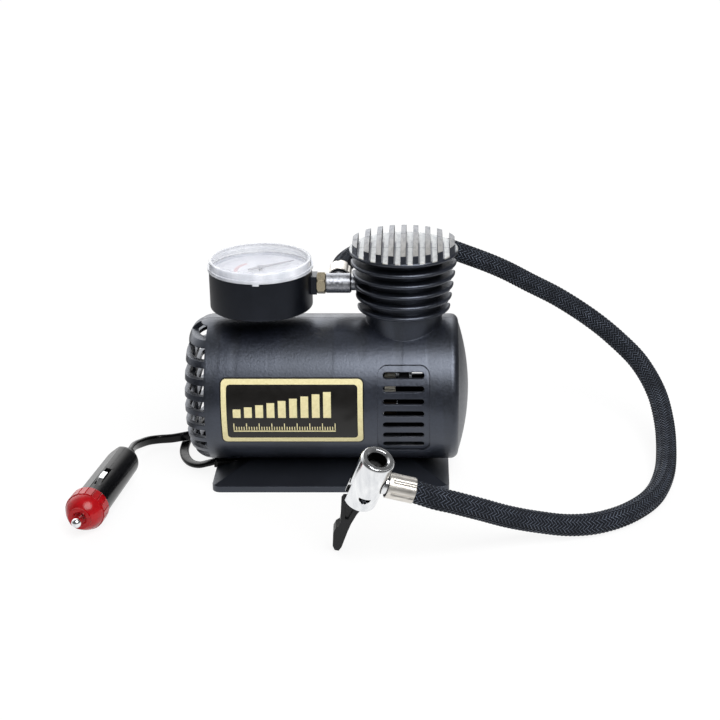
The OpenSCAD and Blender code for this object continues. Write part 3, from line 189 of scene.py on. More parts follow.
def bumped(tree, shader, height, depth, edge=0.0):
    """Raises height by depth in millimetres, over edges softened by a radius in millimetres."""
    inputs = {"Height": height, "Strength": 1.0, "Distance": depth * MM}
    if edge:
        soft = add(tree, "ShaderNodeBevel", {"Radius": edge * MM}, samples=4)
        inputs["Normal"] = soft.outputs[0]
    bump = add(tree, "ShaderNodeBump", inputs)
    tree.links.new(bump.outputs[0], shader.inputs["Normal"])


def from_line(tree, through, along):
    """Distance of the surface from a straight line."""
    away = add(tree, "ShaderNodeVectorMath", {0: coords(tree), 1: through}, operation="SUBTRACT")
    aside = add(tree, "ShaderNodeVectorMath", {0: away.outputs[0], 1: along}, operation="CROSS_PRODUCT")
    return add(tree, "ShaderNodeVectorMath", {0: aside.outputs[0]}, operation="LENGTH").outputs["Value"]


def feed(tree, shader, **links):
    """Links sockets to the shader's inputs."""
    for socket, value in links.items():
        tree.links.new(value, shader.inputs[socket.replace("_", " ")])


# ---------- Finishes ----------

# Black mouldings gleam slightly blue
COOL_GLEAM = "#dbe4f7"

# Shade is painted inside the barrel: how deep below its skin it starts, and over what length
SHADE_DEPTH = 1.4 * MM
SHADE_MIDDLE = -5 * MM
SHADE_HALF = 54 * MM


def brush_dust(tree, position):
    """1 on the barrel's inside, where shade is painted, and 0 on its skin."""
    depth = math_node(tree, "SUBTRACT", BARREL_R, from_line(tree, (0, 0, AXIS_Z), (1, 0, 0)))
    off_middle = math_node(tree, "ABSOLUTE",
        math_node(tree, "SUBTRACT", position.outputs["X"], SHADE_MIDDLE))
    return math_node(tree, "MULTIPLY", spread(tree, depth, SHADE_DEPTH, SHADE_DEPTH + 0.4 * MM),
        spread(tree, off_middle, SHADE_HALF + 2 * MM, SHADE_HALF))


def bare_beside_ribs(tree, position, rag):
    """1 in the ragged corners beside the ribs, at the front, which are painted black as shade."""
    off_tower = math_node(tree, "SUBTRACT", position.outputs["X"], TOWER_X)
    pitches = math_node(tree, "DIVIDE", off_tower, RIB_PITCH)
    into_pitch = math_node(tree, "FRACT", math_node(tree, "ADD", pitches, 0.5))
    from_rib = math_node(tree, "MULTIPLY", RIB_PITCH, math_node(tree, "SUBTRACT", into_pitch, 0.5))
    wavy = math_node(tree, "ADD", from_rib, math_node(tree, "MULTIPLY", rag, 0.5 * MM))
    side = RIB_T / 2
    right = math_node(tree, "MULTIPLY", math_node(tree, "GREATER_THAN", from_rib, 0),
        spread(tree, wavy, side + 1.3 * MM, side + 1.0 * MM))
    left = math_node(tree, "MULTIPLY", math_node(tree, "LESS_THAN", from_rib, 0),
        spread(tree, wavy, -side - 0.1 * MM, -side + 0.2 * MM))
    front = spread(tree, position.outputs["Y"], 11 * MM, 6 * MM)
    return math_node(tree, "MULTIPLY", math_node(tree, "ADD", left, right, clamp=True), front)


def head_silver(tree, position):
    """How far the silver covers the top of the head, and its colour: partly sprayed silver paint and partly a
    painted reflection of the bright overhead, darker on the ribs as painted reflection.
    """
    normal = add(tree, "ShaderNodeNewGeometry").outputs["True Normal"]
    facing = add(tree, "ShaderNodeSeparateXYZ", {0: normal})
    rag = grain(tree, 1.6, 4)
    out = from_line(tree, (TOWER_X, 0, 0), UP)
    rim = math_node(tree, "ADD", out, math_node(tree, "MULTIPLY", rag, 0.8 * MM))
    inside = spread(tree, rim, FIN_R + 0.3 * MM, FIN_R)
    high = spread(tree, position.outputs["Z"], HEAD_Z - 0.5 * MM, HEAD_Z - 0.3 * MM)
    # Silver only on faces that look up: partly sprayed paint, partly a painted reflection of the overhead
    level = spread(tree, facing.outputs["Z"], 0.35, 0.55)
    reached = math_node(tree, "MULTIPLY", math_node(tree, "MULTIPLY", inside, high), level)
    on_ribs = spread(tree, position.outputs["Z"], HEAD_Z + 0.3 * MM, HEAD_Z + 0.8 * MM)
    # Painted shade: the silver is held off the ragged corners beside the ribs, which stay black
    rib_corner_shade = math_node(tree, "MULTIPLY", bare_beside_ribs(tree, position, rag),
        math_node(tree, "SUBTRACT", 1.0, on_ribs))
    cover = math_node(tree, "MULTIPLY", reached, math_node(tree, "SUBTRACT", 1.0, rib_corner_shade))
    thin = spread(tree, grain(tree, 2.2, 5, (1, 0.35, 1)), 0.25, 0.55)
    # The rib tops are darker than the floors between them as a painted reflection
    floor_silver_and_reflection = mixed(tree, thin, "#a9a8a3", "#cccbc4")
    rib_silver_and_reflection = mixed(tree, thin, "#66645f", "#8f8c86")
    return cover, mixed(tree, on_ribs, floor_silver_and_reflection, rib_silver_and_reflection)


def moulded_abs():
    """Injection-moulded black ABS with a spark-eroded skin: matt, slightly blue and finely pebbled, with
    soft upright bands where the plastic flowed and sank. The pebbles are drawn coarse so that they show.
    Inside the barrel it is painted dead black as shade. The top of the head is silver, thin and ragged at the rim:
    partly sprayed silver paint and partly a painted reflection, with painted shade left black beside the ribs."""
    made, tree, shader = new_material("moulded_abs", IOR=1.53, Specular_IOR_Level=1.0,
        Specular_Tint=linear(COOL_GLEAM))
    position = add(tree, "ShaderNodeSeparateXYZ", {0: coords(tree)})
    skin = grain(tree, 1.2, 2)
    flow = spread(tree, grain(tree, 14, 1, (1, 0.12, 0.12)), 0.46, 0.54, smooth=True)
    tone = math_node(tree, "ADD", spread(tree, skin, 0.35, 0.65, 0, 0.5),
        math_node(tree, "MULTIPLY", flow, 0.5))
    dull = math_node(tree, "ADD", spread(tree, skin, 0.35, 0.65, 0.34, 0.41),
        math_node(tree, "MULTIPLY", flow, -0.03))
    # Painted shade: the barrel's inside, seen through its slots, is made near black and dull
    inner_shade = brush_dust(tree, position)
    black = mixed(tree, inner_shade, mixed(tree, tone, "#050608", "#1b1e27"), "#010101")
    # The head's silver is partly sprayed paint and partly a painted reflection
    cover, silver = head_silver(tree, position)
    feed(tree, shader, Base_Color=mixed(tree, cover, black, silver),
         Metallic=math_node(tree, "MULTIPLY", cover, 0.55),
         Roughness=blend(tree, cover, blend(tree, inner_shade, dull, 0.95), 0.42))
    relief = math_node(tree, "ADD", skin, math_node(tree, "MULTIPLY", flow, 0.8))
    bumped(tree, shader, relief, 0.06, edge=0.45)
    return made


def satin_abs():
    """Black ABS drawn from a blasted mould: smoother than the housing, with long soft gleams."""
    made, tree, shader = new_material("satin_abs", IOR=1.53, Specular_IOR_Level=0.9,
        Specular_Tint=linear(COOL_GLEAM))
    skin = grain(tree, 0.5, 3)
    feed(tree, shader, Base_Color=mixed(tree, between(tree, grain(tree, 20, 3)), "#0c0d11", "#13151a"),
         Roughness=between(tree, skin, 0.34, 0.44))
    bumped(tree, shader, skin, 0.025, edge=0.5)
    return made


def drum_plastic():
    """Polished black moulding of the gauge drum: deep, even, with a soft broad shine. Its bore above the
    dial is sprayed pale grey."""
    made, tree, shader = new_material("drum_plastic", IOR=1.5, Specular_IOR_Level=0.5,
        Specular_Tint=linear(COOL_GLEAM))
    clouds = grain(tree, 12, 3)
    position = add(tree, "ShaderNodeSeparateXYZ", {0: coords(tree)})
    out = from_line(tree, (GAUGE.x, 0, 0), UP)
    bore = math_node(tree, "MULTIPLY", math_node(tree, "LESS_THAN", out, DIAL_R + 0.6 * MM),
        math_node(tree, "GREATER_THAN", position.outputs["Z"], GAUGE.z - 0.5 * MM))
    black = mixed(tree, between(tree, clouds), "#07080c", "#0c0e14")
    feed(tree, shader, Base_Color=mixed(tree, bore, black, "#b4b7c2"),
         Roughness=between(tree, clouds, 0.3, 0.38))
    bumped(tree, shader, grain(tree, 0.7, 2), 0.01, edge=0.3)
    return made


def label_film():
    """Glossy black polyester film: a clear coat over a brown-black ground, with the glue's faint ripple."""
    made, tree, shader = new_material("label_film", IOR=1.5, Specular_IOR_Level=0.3, Coat_Weight=0.25,
        Coat_Roughness=0.12)
    feed(tree, shader, Base_Color=mixed(tree, between(tree, grain(tree, 9, 3)), "#0d0b09", "#13110f"),
         Roughness=between(tree, grain(tree, 3, 3), 0.3, 0.42))
    bumped(tree, shader, grain(tree, 5, 2), 0.03, edge=0.1)
    return made


def screen_ink():
    """Pale yellow screen ink: flat and even, with the slight mottle of ink laid through a mesh."""
    made, tree, shader = new_material("screen_ink", IOR=1.5)
    clouds = spread(tree, grain(tree, 1.2, 3), 0.35, 0.65)
    feed(tree, shader, Base_Color=mixed(tree, clouds, "#dacf9c", "#e4daaa"),
         Roughness=between(tree, grain(tree, 0.5, 2), 0.38, 0.5))
    bumped(tree, shader, grain(tree, 0.4, 2), 0.008)
    return made


def clear_styrene():
    """Clear polystyrene window: nearly unseen over the dial, with a painted reflection in its thick rim, made as
    streaks of opaque bluish white, and hairline scratches."""
    made, tree, shader = new_material("clear_styrene", IOR=1.59)
    scratch = grain(tree, 0.8, 4, (1, 0.08, 1))
    streak = grain(tree, 9, 2, (1, 1, 0.3))
    out = from_line(tree, (GAUGE.x, 0, 0), UP)
    rim = spread(tree, out, CRYSTAL_R - 2.6 * MM, CRYSTAL_R - 1.9 * MM)
    # Painted reflection: the thick rim is made partly opaque, in streaks of bluish white
    rim_reflection = math_node(tree, "MULTIPLY", rim, between(tree, streak, 0.4, 0.55))
    feed(tree, shader, Base_Color=mixed(tree, between(tree, streak), "#c6cad4", "#eceef3"),
         Roughness=spread(tree, scratch, 0.55, 0.8, 0.06, 0.14),
         Alpha=math_node(tree, "ADD", rim_reflection, between(tree, scratch, 0.16, 0.22)))
    return made


def dial_enamel():
    """White stove enamel on the dial plate: clean and flat, with a slight orange peel."""
    made, tree, shader = new_material("dial_enamel", IOR=1.5)
    feed(tree, shader, Base_Color=mixed(tree, between(tree, grain(tree, 6, 3)), "#d6d7e0", "#e0e1e8"),
         Roughness=between(tree, grain(tree, 1, 2), 0.42, 0.5))
    bumped(tree, shader, grain(tree, 0.6, 2), 0.006)
    return made


def dial_ink(name, code, light):
    """Thin printing ink on the dial, greyed where it lies thin."""
    made, tree, shader = new_material(name, IOR=1.5, Roughness=0.5)
    feed(tree, shader, Base_Color=mixed(tree, spread(tree, grain(tree, 0.5, 3), 0.35, 0.65), code, light))
    return made


def needle_paint():
    """Grey lacquer on the stamped pointer, with brushed streaks along it."""
    made, tree, shader = new_material("needle_paint", IOR=1.5)
    streak = grain(tree, 0.6, 3, (0.2, 1, 1))
    feed(tree, shader, Base_Color=mixed(tree, between(tree, streak), "#7d7b82", "#9a989f"),
         Roughness=between(tree, streak, 0.35, 0.5))
    bumped(tree, shader, streak, 0.01, edge=0.08)
    return made


def two_toned(name, dark, light, size, dull, relief, edge=0.2, stretch=None, detail=4, **sockets):
    """A finish of two tones with one kind of mark: the marks have a size in millimetres, and the
    roughness runs from dull's first value to its second."""
    made, tree, shader = new_material(name, **sockets)
    marks = grain(tree, size, detail, stretch)
    feed(tree, shader, Base_Color=mixed(tree, between(tree, marks), dark, light),
         Roughness=between(tree, marks, *dull))
    bumped(tree, shader, marks, relief, edge=edge)
    return made


def metal(name, dark, light, size, dull, stretch=None, relief=0.02, edge=0.2, detail=4):
    """A bare or plated metal."""
    return two_toned(name, dark, light, size, dull, relief, edge, stretch, detail, Metallic=1.0)


def compound(name, dark, light, size, dull, relief, ior=1.5, edge=0.2, gleam=0.5):
    """A plain moulded or pressed compound."""
    return two_toned(name, dark, light, size, dull, relief, edge, IOR=ior, Specular_IOR_Level=gleam)


def turned_brass():
    """Turned brass, pale where light catches it, with fine rings from the tool."""
    return metal("turned_brass", "#b3a585", "#ddd3bb", 0.5, (0.24, 0.38), (3, 0.6, 0.6), 0.015)


def die_cast_zinc():
    """Tumbled zinc die-casting: mottled blue-grey with bright flecks and soft pits."""
    return metal("die_cast_zinc", "#84878f", "#bfc1c6", 1.1, (0.28, 0.5), None, 0.09, 0.35, 5)


def crimped_nickel():
    """Nickel-plated crimped sleeve: warm silver with streaks from the crimping jaws."""
    return metal("crimped_nickel", "#cfcac3", "#ece8e1", 1.6, (0.3, 0.38), (0.25, 1, 1), 0.003, 0.8, 2)


def polished_chrome():
    """Chrome plate over a drawn body: nearly mirror bright, with faint lengthwise polishing marks.
    Its bore, inside the chuck's mouth, is painted near black as shade."""
    made, tree, shader = new_material("polished_chrome", Metallic=1.0)
    marks = between(tree, grain(tree, 2.5, 4, (1, 1, 0.12)))
    radius = from_line(tree, PIVOT, CHUCK_Z)
    # Painted shade: the chuck's bore is made near black and rougher
    bore = spread(tree, radius, CHUCK_BORE_R + 0.6 * MM, CHUCK_BORE_R + 0.3 * MM)
    plated = mixed(tree, marks, "#dddfe2", "#f6f7f8")
    bore_shade = mixed(tree, marks, "#08080a", "#141416")
    dull = spread(tree, marks, 0, 1, 0.06, 0.14)
    feed(tree, shader, Base_Color=mixed(tree, bore, plated, bore_shade),
         Roughness=blend(tree, bore, dull, 0.5))
    bumped(tree, shader, marks, 0.002, edge=0.35)
    return made


def blacked_steel():
    """Steel blacked in a hot bath and oiled: nearly black, smooth, with one clear highlight. Its dark tone is
    partly painted shade, for the plunger in the chuck's mouth and the pin in the lever's window.
    """
    return metal("blacked_steel", "#2a2c30", "#4a4d52", 1.2, (0.16, 0.24))


def zinc_steel():
    """Zinc-plated steel: bluish silver, slightly dull, with fine turning marks."""
    return metal("zinc_steel", "#8e9298", "#c3c7cc", 0.7, (0.2, 0.38), None, 0.015, 0.12)


def drawn_steel():
    """Deep-drawn sheet steel: grey with long satin drawing marks."""
    return metal("drawn_steel", "#8a8d91", "#b5b8bb", 0.8, (0.25, 0.45), (0.1, 1, 1), 0.015)


def cast_aluminium():
    """Die-cast aluminium: pale grey, matt, with a fine sandy skin."""
    return metal("cast_aluminium", "#9a9da1", "#c5c8cb", 0.6, (0.4, 0.6), None, 0.05)


def milled_aluminium():
    """Machined aluminium: bright, with close parallel cutter marks."""
    return metal("milled_aluminium", "#b3b6ba", "#dadcdf", 0.5, (0.2, 0.34), (1, 1, 4), 0.02)


def oiled_bronze():
    """Sintered bronze of the bearing and the pinion: dull, and painted dark brown as the shade inside the barrel.
    """
    return metal("oiled_bronze", "#1d1813", "#30281d", 1.2, (0.45, 0.6))


def sooted_aluminium():
    """Cast aluminium of the connecting rod, painted dark as the shade inside the barrel."""
    return metal("sooted_aluminium", "#1f2022", "#3a3b3e", 1.5, (0.4, 0.55))


def enamelled_copper():
    """Enamelled copper wire wound on a steel core: close glossy turns of orange-brown."""
    made, tree, shader = new_material("enamelled_copper", Metallic=0.9)
    inputs = {"Vector": coords(tree), "Scale": per_mm(2.4), "Distortion": 0.6}
    turns = add(tree, "ShaderNodeTexWave", inputs, bands_direction="X").outputs["Fac"]
    # Painted shade: the colour is dark in the grooves between turns and pale on their crowns
    feed(tree, shader, Base_Color=mixed(tree, turns, "#6b3317", "#c9773f"),
         Roughness=spread(tree, turns, 0, 1, 0.42, 0.24))
    bumped(tree, shader, turns, 0.15)
    return made


def sintered_ferrite():
    """Sintered ferrite: charcoal, dry and grainy."""
    return compound("sintered_ferrite", "#2c2a29", "#454240", 0.4, (0.6, 0.8), 0.05)


def natural_acetal():
    """Natural acetal gear: milky white and waxy."""
    return compound("natural_acetal", "#ddd9cb", "#ece9de", 3, (0.3, 0.4), 0.01, 1.48)


def pressed_fibre():
    """Red-brown gasket fibre: dry, with matted threads."""
    return compound("pressed_fibre", "#4a241b", "#6b3a2c", 0.5, (0.7, 0.9), 0.08)


def nitrile_rubber():
    """Black nitrile rubber: dull, a little dusty."""
    return compound("nitrile_rubber", "#141414", "#242424", 0.8, (0.5, 0.7), 0.03, 1.52)


def lever_nylon():
    """Black glass-filled nylon: satin, with pale scuffs where thumbs rub it."""
    return compound("lever_nylon", "#0b0b0d", "#141518", 1.2, (0.26, 0.38), 0.03, 1.53, 0.35, 0.2)


def lead_pvc():
    """Black PVC of the twin lead: softly shiny, with slight waves from the extruder."""
    return compound("lead_pvc", "#060608", "#0b0b0d", 2.5, (0.2, 0.3), 0.02, 1.53, 0, 0.18)


def plug_phenolic():
    """Black moulded shell of the plug: hard and smooth, with a low shine on its flats."""
    return compound("plug_phenolic", "#050506", "#09090b", 1.5, (0.18, 0.25), 0.004, 1.5, 0.25, 0.25)


def red_polycarbonate():
    """Glossy red polycarbonate: deep colour, small sharp highlights and light inside its thin edges."""
    made, tree, shader = new_material("red_polycarbonate", IOR=1.5, Specular_IOR_Level=0.3, Coat_Weight=0.08,
        Coat_Roughness=0.04, Subsurface_Weight=0.1, Subsurface_Radius=(0.004, 0.0008, 0.0006),
        Subsurface_Scale=0.5)
    clouds = grain(tree, 5, 3)
    feed(tree, shader, Base_Color=mixed(tree, between(tree, clouds), "#960a11", "#aa0e17"),
         Roughness=between(tree, clouds, 0.16, 0.24))
    bumped(tree, shader, grain(tree, 1.5, 2), 0.01, edge=0.25)
    return made


def fuse_glass():
    """Glass of the fuse, clear and streaked, laid over the whole fuse."""
    made, tree, shader = new_material("fuse_glass", IOR=1.5, Transmission_Weight=0.6)
    streak = grain(tree, 1.5, 3)
    feed(tree, shader, Base_Color=mixed(tree, streak, "#c5ccd0", "#eef2f4"),
         Roughness=between(tree, streak, 0.06, 0.2))
    return made


# The braid: plaits of each hand, the length of one full turn, and the yarns in a plait
BRAID_ENDS = 16
BRAID_LAY = 34 * MM
BRAID_YARNS = 3


def polyester_braid():
    """Braided polyester yarn: black plaits of three glossy yarns, over two and under two. Their crowns are painted
    pale blue-grey as a highlight and made glossier, so that they glint in rows of chevrons."""
    made, tree, shader = new_material("polyester_braid", IOR=1.57, Specular_IOR_Level=0.45,
        Specular_Tint=linear(COOL_GLEAM))
    plait = add(tree, "ShaderNodeSeparateXYZ", {0: add(tree, "ShaderNodeTexCoord").outputs["UV"]})
    left, right = plait.outputs["X"], plait.outputs["Y"]
    apart = math_node(tree, "SUBTRACT", math_node(tree, "FLOOR", left), math_node(tree, "FLOOR", right))
    row = math_node(tree, "FLOOR", math_node(tree, "MULTIPLY", apart, 0.5))
    hand = math_node(tree, "MULTIPLY", math_node(tree, "FRACT", math_node(tree, "MULTIPLY", row, 0.5)), 2.0)
    across = blend(tree, hand, left, right)
    yarn = math_node(tree, "PINGPONG", math_node(tree, "MULTIPLY", across, BRAID_YARNS), 0.5)
    plump = math_node(tree, "PINGPONG", across, 0.5)
    glint_variation = grain(tree, 7, 3)
    # Painted highlight: the crowns of the plaits are pale, more in some places than others
    crown_glint = math_node(tree, "MULTIPLY", spread(tree, plump, 0.36, 0.48, smooth=True),
        spread(tree, glint_variation, 0.35, 0.65, 0.35, 1.0))
    feed(tree, shader, Base_Color=mixed(tree, crown_glint, "#010102", "#59616f"),
         Roughness=spread(tree, crown_glint, 0, 1, 0.9, 0.2))
    bumped(tree, shader, yarn, 0.12)
    return made


FINISH = {
    "moulded_abs": moulded_abs(), "satin_abs": satin_abs(), "drum_plastic": drum_plastic(),
    "label_film": label_film(), "screen_ink": screen_ink(), "clear_styrene": clear_styrene(),
    "dial_enamel": dial_enamel(), "grey_ink": dial_ink("grey_ink", "#a3a5b0", "#b9bbc5"),
    "rose_ink": dial_ink("rose_ink", "#c79aa0", "#d2adb2"), "needle_paint": needle_paint(),
    "turned_brass": turned_brass(), "oiled_bronze": oiled_bronze(), "die_cast_zinc": die_cast_zinc(),
    "crimped_nickel": crimped_nickel(), "polished_chrome": polished_chrome(),
    "blacked_steel": blacked_steel(), "zinc_steel": zinc_steel(), "drawn_steel": drawn_steel(),
    "cast_aluminium": cast_aluminium(), "milled_aluminium": milled_aluminium(),
    "sooted_aluminium": sooted_aluminium(),
    "enamelled_copper": enamelled_copper(), "sintered_ferrite": sintered_ferrite(),
    "natural_acetal": natural_acetal(), "pressed_fibre": pressed_fibre(), "nitrile_rubber": nitrile_rubber(),
    "lever_nylon": lever_nylon(), "lead_pvc": lead_pvc(), "plug_phenolic": plug_phenolic(),
    "red_polycarbonate": red_polycarbonate(), "fuse_glass": fuse_glass(),
    "polyester_braid": polyester_braid(),
}

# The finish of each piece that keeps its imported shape
WEARS = {
    "moulded_abs": ["housing_front", "housing_back"],
    "satin_abs": ["base_foot"],
    "drum_plastic": ["gauge_case"],
    "label_film": ["label_plate"],
    "clear_styrene": ["gauge_crystal"],
    "dial_enamel": ["gauge_dial"],
    "needle_paint": ["gauge_needle"],
    "turned_brass": ["gauge_nut", "gauge_movement", "motor_terminals"],
    "oiled_bronze": ["axle_bearing", "motor_pinion"],
    "die_cast_zinc": ["outlet_manifold", "outlet_nipple"],
    "crimped_nickel": ["hose_ferrule", "chuck_ferrule"],
    "blacked_steel": ["chuck_pivot_pin", "chuck_plunger"],
    "polished_chrome": ["chuck_body", "plug_tip", "plug_contact_top", "plug_contact_bottom"],
    "zinc_steel": ["housing_screws", "base_screws", "motor_screws", "head_screws", "motor_shaft", "gear_axle",
        "crank_pin", "wrist_pin", "plug_spring"],
    "drawn_steel": ["motor_can", "valve_plate", "gearbox_frame"],
    "cast_aluminium": ["pump_cylinder", "pump_head"],
    "milled_aluminium": ["piston"],
    "sooted_aluminium": ["connecting_rod"],
    "enamelled_copper": ["motor_rotor", "motor_commutator"],
    "sintered_ferrite": ["motor_magnets"],
    "natural_acetal": ["crank_gear"],
    "pressed_fibre": ["cylinder_gasket"],
    "nitrile_rubber": ["piston_ring", "chuck_seal"],
    "lever_nylon": ["chuck_lever", "motor_end_cap"],
    "lead_pvc": ["cord_grommet", "plug_strain_relief"],
    "plug_phenolic": ["plug_shell_left", "plug_shell_right"],
    "red_polycarbonate": ["plug_nose"],
    "fuse_glass": ["plug_fuse"],
}


def dress_packed_pieces():
    """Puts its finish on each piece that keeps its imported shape."""
    for finish, nodes in WEARS.items():
        for node in nodes:
            piece = NODES[node]
            if not piece.material_slots:
                piece.data.materials.append(FINISH[finish])
            for held in piece.material_slots:
                held.material = FINISH[finish]


# ---------- Mesh helpers ----------

def piece_from(name, vertices, faces, finish, body, uv=None, smooth=True):
    """A mesh object that rides on a body; uv holds a pair for each corner of each face."""
    mesh = bpy.data.meshes.new(name)
    mesh.from_pydata([tuple(v) for v in vertices], [], faces)
    if uv:
        layer = mesh.uv_layers.new(name="UVMap")
        layer.data.foreach_set("uv", [c for pair in uv for c in pair])
    mesh.update()
    if smooth:
        mesh.shade_smooth()
    made = bpy.data.objects.new(name, mesh)
    made.data.materials.append(FINISH[finish])
    bpy.context.scene.collection.objects.link(made)
    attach(made, body)
    return made


def spline(points, steps):
    """A Catmull-Rom curve through the points, with steps samples to each span."""
    last = len(points) - 1
    found = []
    for i in range(last):
        a, b, c, d = (points[max(0, min(last, i + k))] for k in (-1, 0, 1, 2))
        for k in range(steps):
            t = k / steps
            found.append(0.5 * (2 * b + (c - a) * t + (2 * a - 5 * b + 4 * c - d) * t * t
                                + (3 * b - a - 3 * c + d) * t ** 3))
    return found + [points[last]]


def length_of(path):
    """Length along a path of points."""
    return sum((b - a).length for a, b in zip(path, path[1:]))


def evenly(path, count):
    """The same path with count equal steps."""
    ends = [0.0]
    for a, b in zip(path, path[1:]):
        ends.append(ends[-1] + (b - a).length)
    found, i = [], 0
    for k in range(count + 1):
        at = ends[-1] * k / count
        while i < len(path) - 2 and ends[i + 1] < at:
            i += 1
        share = (at - ends[i]) / max(ends[i + 1] - ends[i], 1e-12)
        found.append(path[i].lerp(path[i + 1], min(1.0, share)))
    return found


def headings(path):
    """The way the path runs at each of its points."""
    last = len(path) - 1
    return [(path[min(last, i + 1)] - path[max(0, i - 1)]).normalized() for i in range(last + 1)]


def carried_frames(path):
    """Side and up directions carried along a path without twist."""
    found, side = [], None
    for t in headings(path):
        side = t.cross(UP).normalized() if side is None else (side - t * side.dot(t)).normalized()
        found.append((side, side.cross(t)))
    return found


def rolled_frames(path, roll_at):
    """Side and up directions of a flat lead that lies down, turned over by roll_at(i) degrees."""
    found = []
    for i, t in enumerate(headings(path)):
        flat = t.cross(UP).normalized()
        rise = flat.cross(t)
        a = math.radians(roll_at(i))
        found.append((flat * math.cos(a) + rise * math.sin(a), rise * math.cos(a) - flat * math.sin(a)))
    return found


def swept(path, frames, ring_at, sides):
    """Vertices and faces of a tube with closed ends, whose ring i has the points ring_at(i, k)."""
    vertices = []
    for i, (centre, (side, up)) in enumerate(zip(path, frames)):
        for k in range(sides):
            x, y = ring_at(i, k)
            vertices.append(centre + side * x + up * y)
    rings = len(path)
    faces = []
    for i in range(rings - 1):
        near, far = i * sides, (i + 1) * sides
        for k in range(sides):
            after = (k + 1) % sides
            faces.append((near + k, near + after, far + after, far + k))
    faces.append(tuple(range(sides - 1, -1, -1)))
    faces.append(tuple(range((rings - 1) * sides, rings * sides)))
    return vertices, faces


# ---------- Air hose ----------

HOSE_EXIT = mm(5.5, 6, 102)
HOSE_D = 11 * MM
# How far a plait's crown stands over the gaps, and the points drawn across each plait
CROWN = 0.6 * MM
PLAIT_POINTS = 6
# How far the hose goes into the ferrule
HOSE_GRIP = 3 * MM
HOSE_ROUTE = [mm(*p) for p in [
    (5.5, 14, 102), (5.6, 21.5, 102.1), (7.3, 31.7, 102.5), (11.6, 42, 102.9), (18.4, 51.1, 103.1),
    (28.1, 58.8, 102.9), (40.6, 64, 102.2), (59, 66.6, 100), (74, 66.2, 95.2), (92, 69, 87),
    (109, 74, 76.5), (126, 77, 66.5), (144, 75, 55), (158, 69, 45), (170, 57, 35.5), (177.5, 39, 25.5),
    (179.5, 18, 17), (178, -5, 10.5), (174, -27, 6.4), (165, -51, 5.6), (151, -69, 5.6), (135, -79.5, 5.6),
    (120, -84.5, 6.8), (105, -89.5, 11), (90, -96, 17.2), (76, -102, 24.3), (63, -106.8, 30.4),
    (54, -109.2, 33.9)]]


def air_hose():
    """Rubber tube under a braid of plaits that pass over and under each other."""
    ends = [chuck_point(FERRULE_FOOT + x, 0, PORT_H) for x in (FERRULE_LEN - HOSE_GRIP, 0)]
    route = spline([HOSE_EXIT] + HOSE_ROUTE + ends, 12)
    total = length_of(route)
    rings = round(total / (BRAID_LAY / BRAID_ENDS / PLAIT_POINTS))
    path = evenly(route, rings)
    sides = PLAIT_POINTS * BRAID_ENDS

    def plaits(i, k):
        """How many plaits of each hand lie before this point."""
        turn, lay = k / sides, total * i / rings / BRAID_LAY
        return BRAID_ENDS * (turn + lay), BRAID_ENDS * (lay - turn)

    def ring_at(i, k):
        """A point of the braid: the upper plait is plump across and dives at both ends."""
        left, right = plaits(i, k)
        l, r = math.floor(left + 1e-6), math.floor(right + 1e-6)
        if (l - r) // 2 % 2:
            across, along = right - r, (left - r) / 2
        else:
            across, along = left - l, (l - right + 1) / 2
        width = 1 - abs(2 * (across % 1) - 1)
        length = 1 - abs(2 * (along % 1) - 1)
        rise = math.sqrt(max(0.0, 1 - (1 - width) ** 2)) * (0.35 + 0.65 * math.sin(length * math.pi / 2))
        radius = HOSE_D / 2 - CROWN * (1 - rise)
        angle = 2 * math.pi * k / sides
        return radius * math.cos(angle), radius * math.sin(angle)

    vertices, faces = swept(path, carried_frames(path), ring_at, sides)
    uv = []
    for i in range(rings):
        for k in range(sides):
            uv += [plaits(i, k), plaits(i, k + 1), plaits(i + 1, k + 1), plaits(i + 1, k)]
    uv += [(0, 0)] * (2 * sides)
    hose = piece_from("hose_braid", vertices, faces, "polyester_braid", "frame", uv)
    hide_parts("air_hose")


# ---------- Power lead ----------

LEAD_W = 5 * MM
LEAD_T = 2.7 * MM
LEAD_EXIT = mm(-61.55, -7, 4.4)
# From the housing to the coil, and from the coil to the plug
NEAR_ROUTE = [mm(*p) for p in [
    (-65.5, -7.4, 3.4), (-70, -6.8, 2.2), (-74.5, -3.5, 1.6), (-78, 2.5, 1.4), (-80.2, 10, 1.4),
    (-81, 19, 1.4), (-80.2, 32, 1.4), (-77, 48, 1.5), (-72, 62, 2), (-67, 75, 3.4)]]
FAR_ROUTE = [mm(*p) for p in [
    (-41, 53.4, 5.8), (-52.5, 49.5, 3.8), (-62.5, 42.5, 2.8), (-70, 33.5, 3.8), (-76, 26.4, 5.1),
    (-82, 22.6, 5.4), (-88.5, 22.2, 4.4), (-95, 22.4, 3.8), (-100.5, 19.2, 4.4), (-104.2, 12.5, 5.8),
    (-106.2, 4, 7.9)]]
RELIEF_LEN = 7 * MM
# The coil: its middle, the radius halfway through its columns, where it starts and how many turns
COIL_AT = mm(-29, 88, 0)
COIL_R = 27.5 * MM
COIL_START = 180
COIL_TURNS = 13.75
LAYER_LOW = 1.95 * MM
LAYER_STEP = 2.8 * MM
# Degrees over which a turn keeps its place, and then shifts to the next one
HOLD = 280
SHIFT = 40
# Column from inside to outside and layer from the ground up of each turn, in the order it is wound
TURNS = [(3, 1), (3, 0), (2, 0), (1, 0), (0, 0), (0, 1), (1, 1), (2, 1), (2, 2), (1, 2), (0, 2), (0, 3),
    (1, 3), (2, 3), (3, 2), (3, 2)]


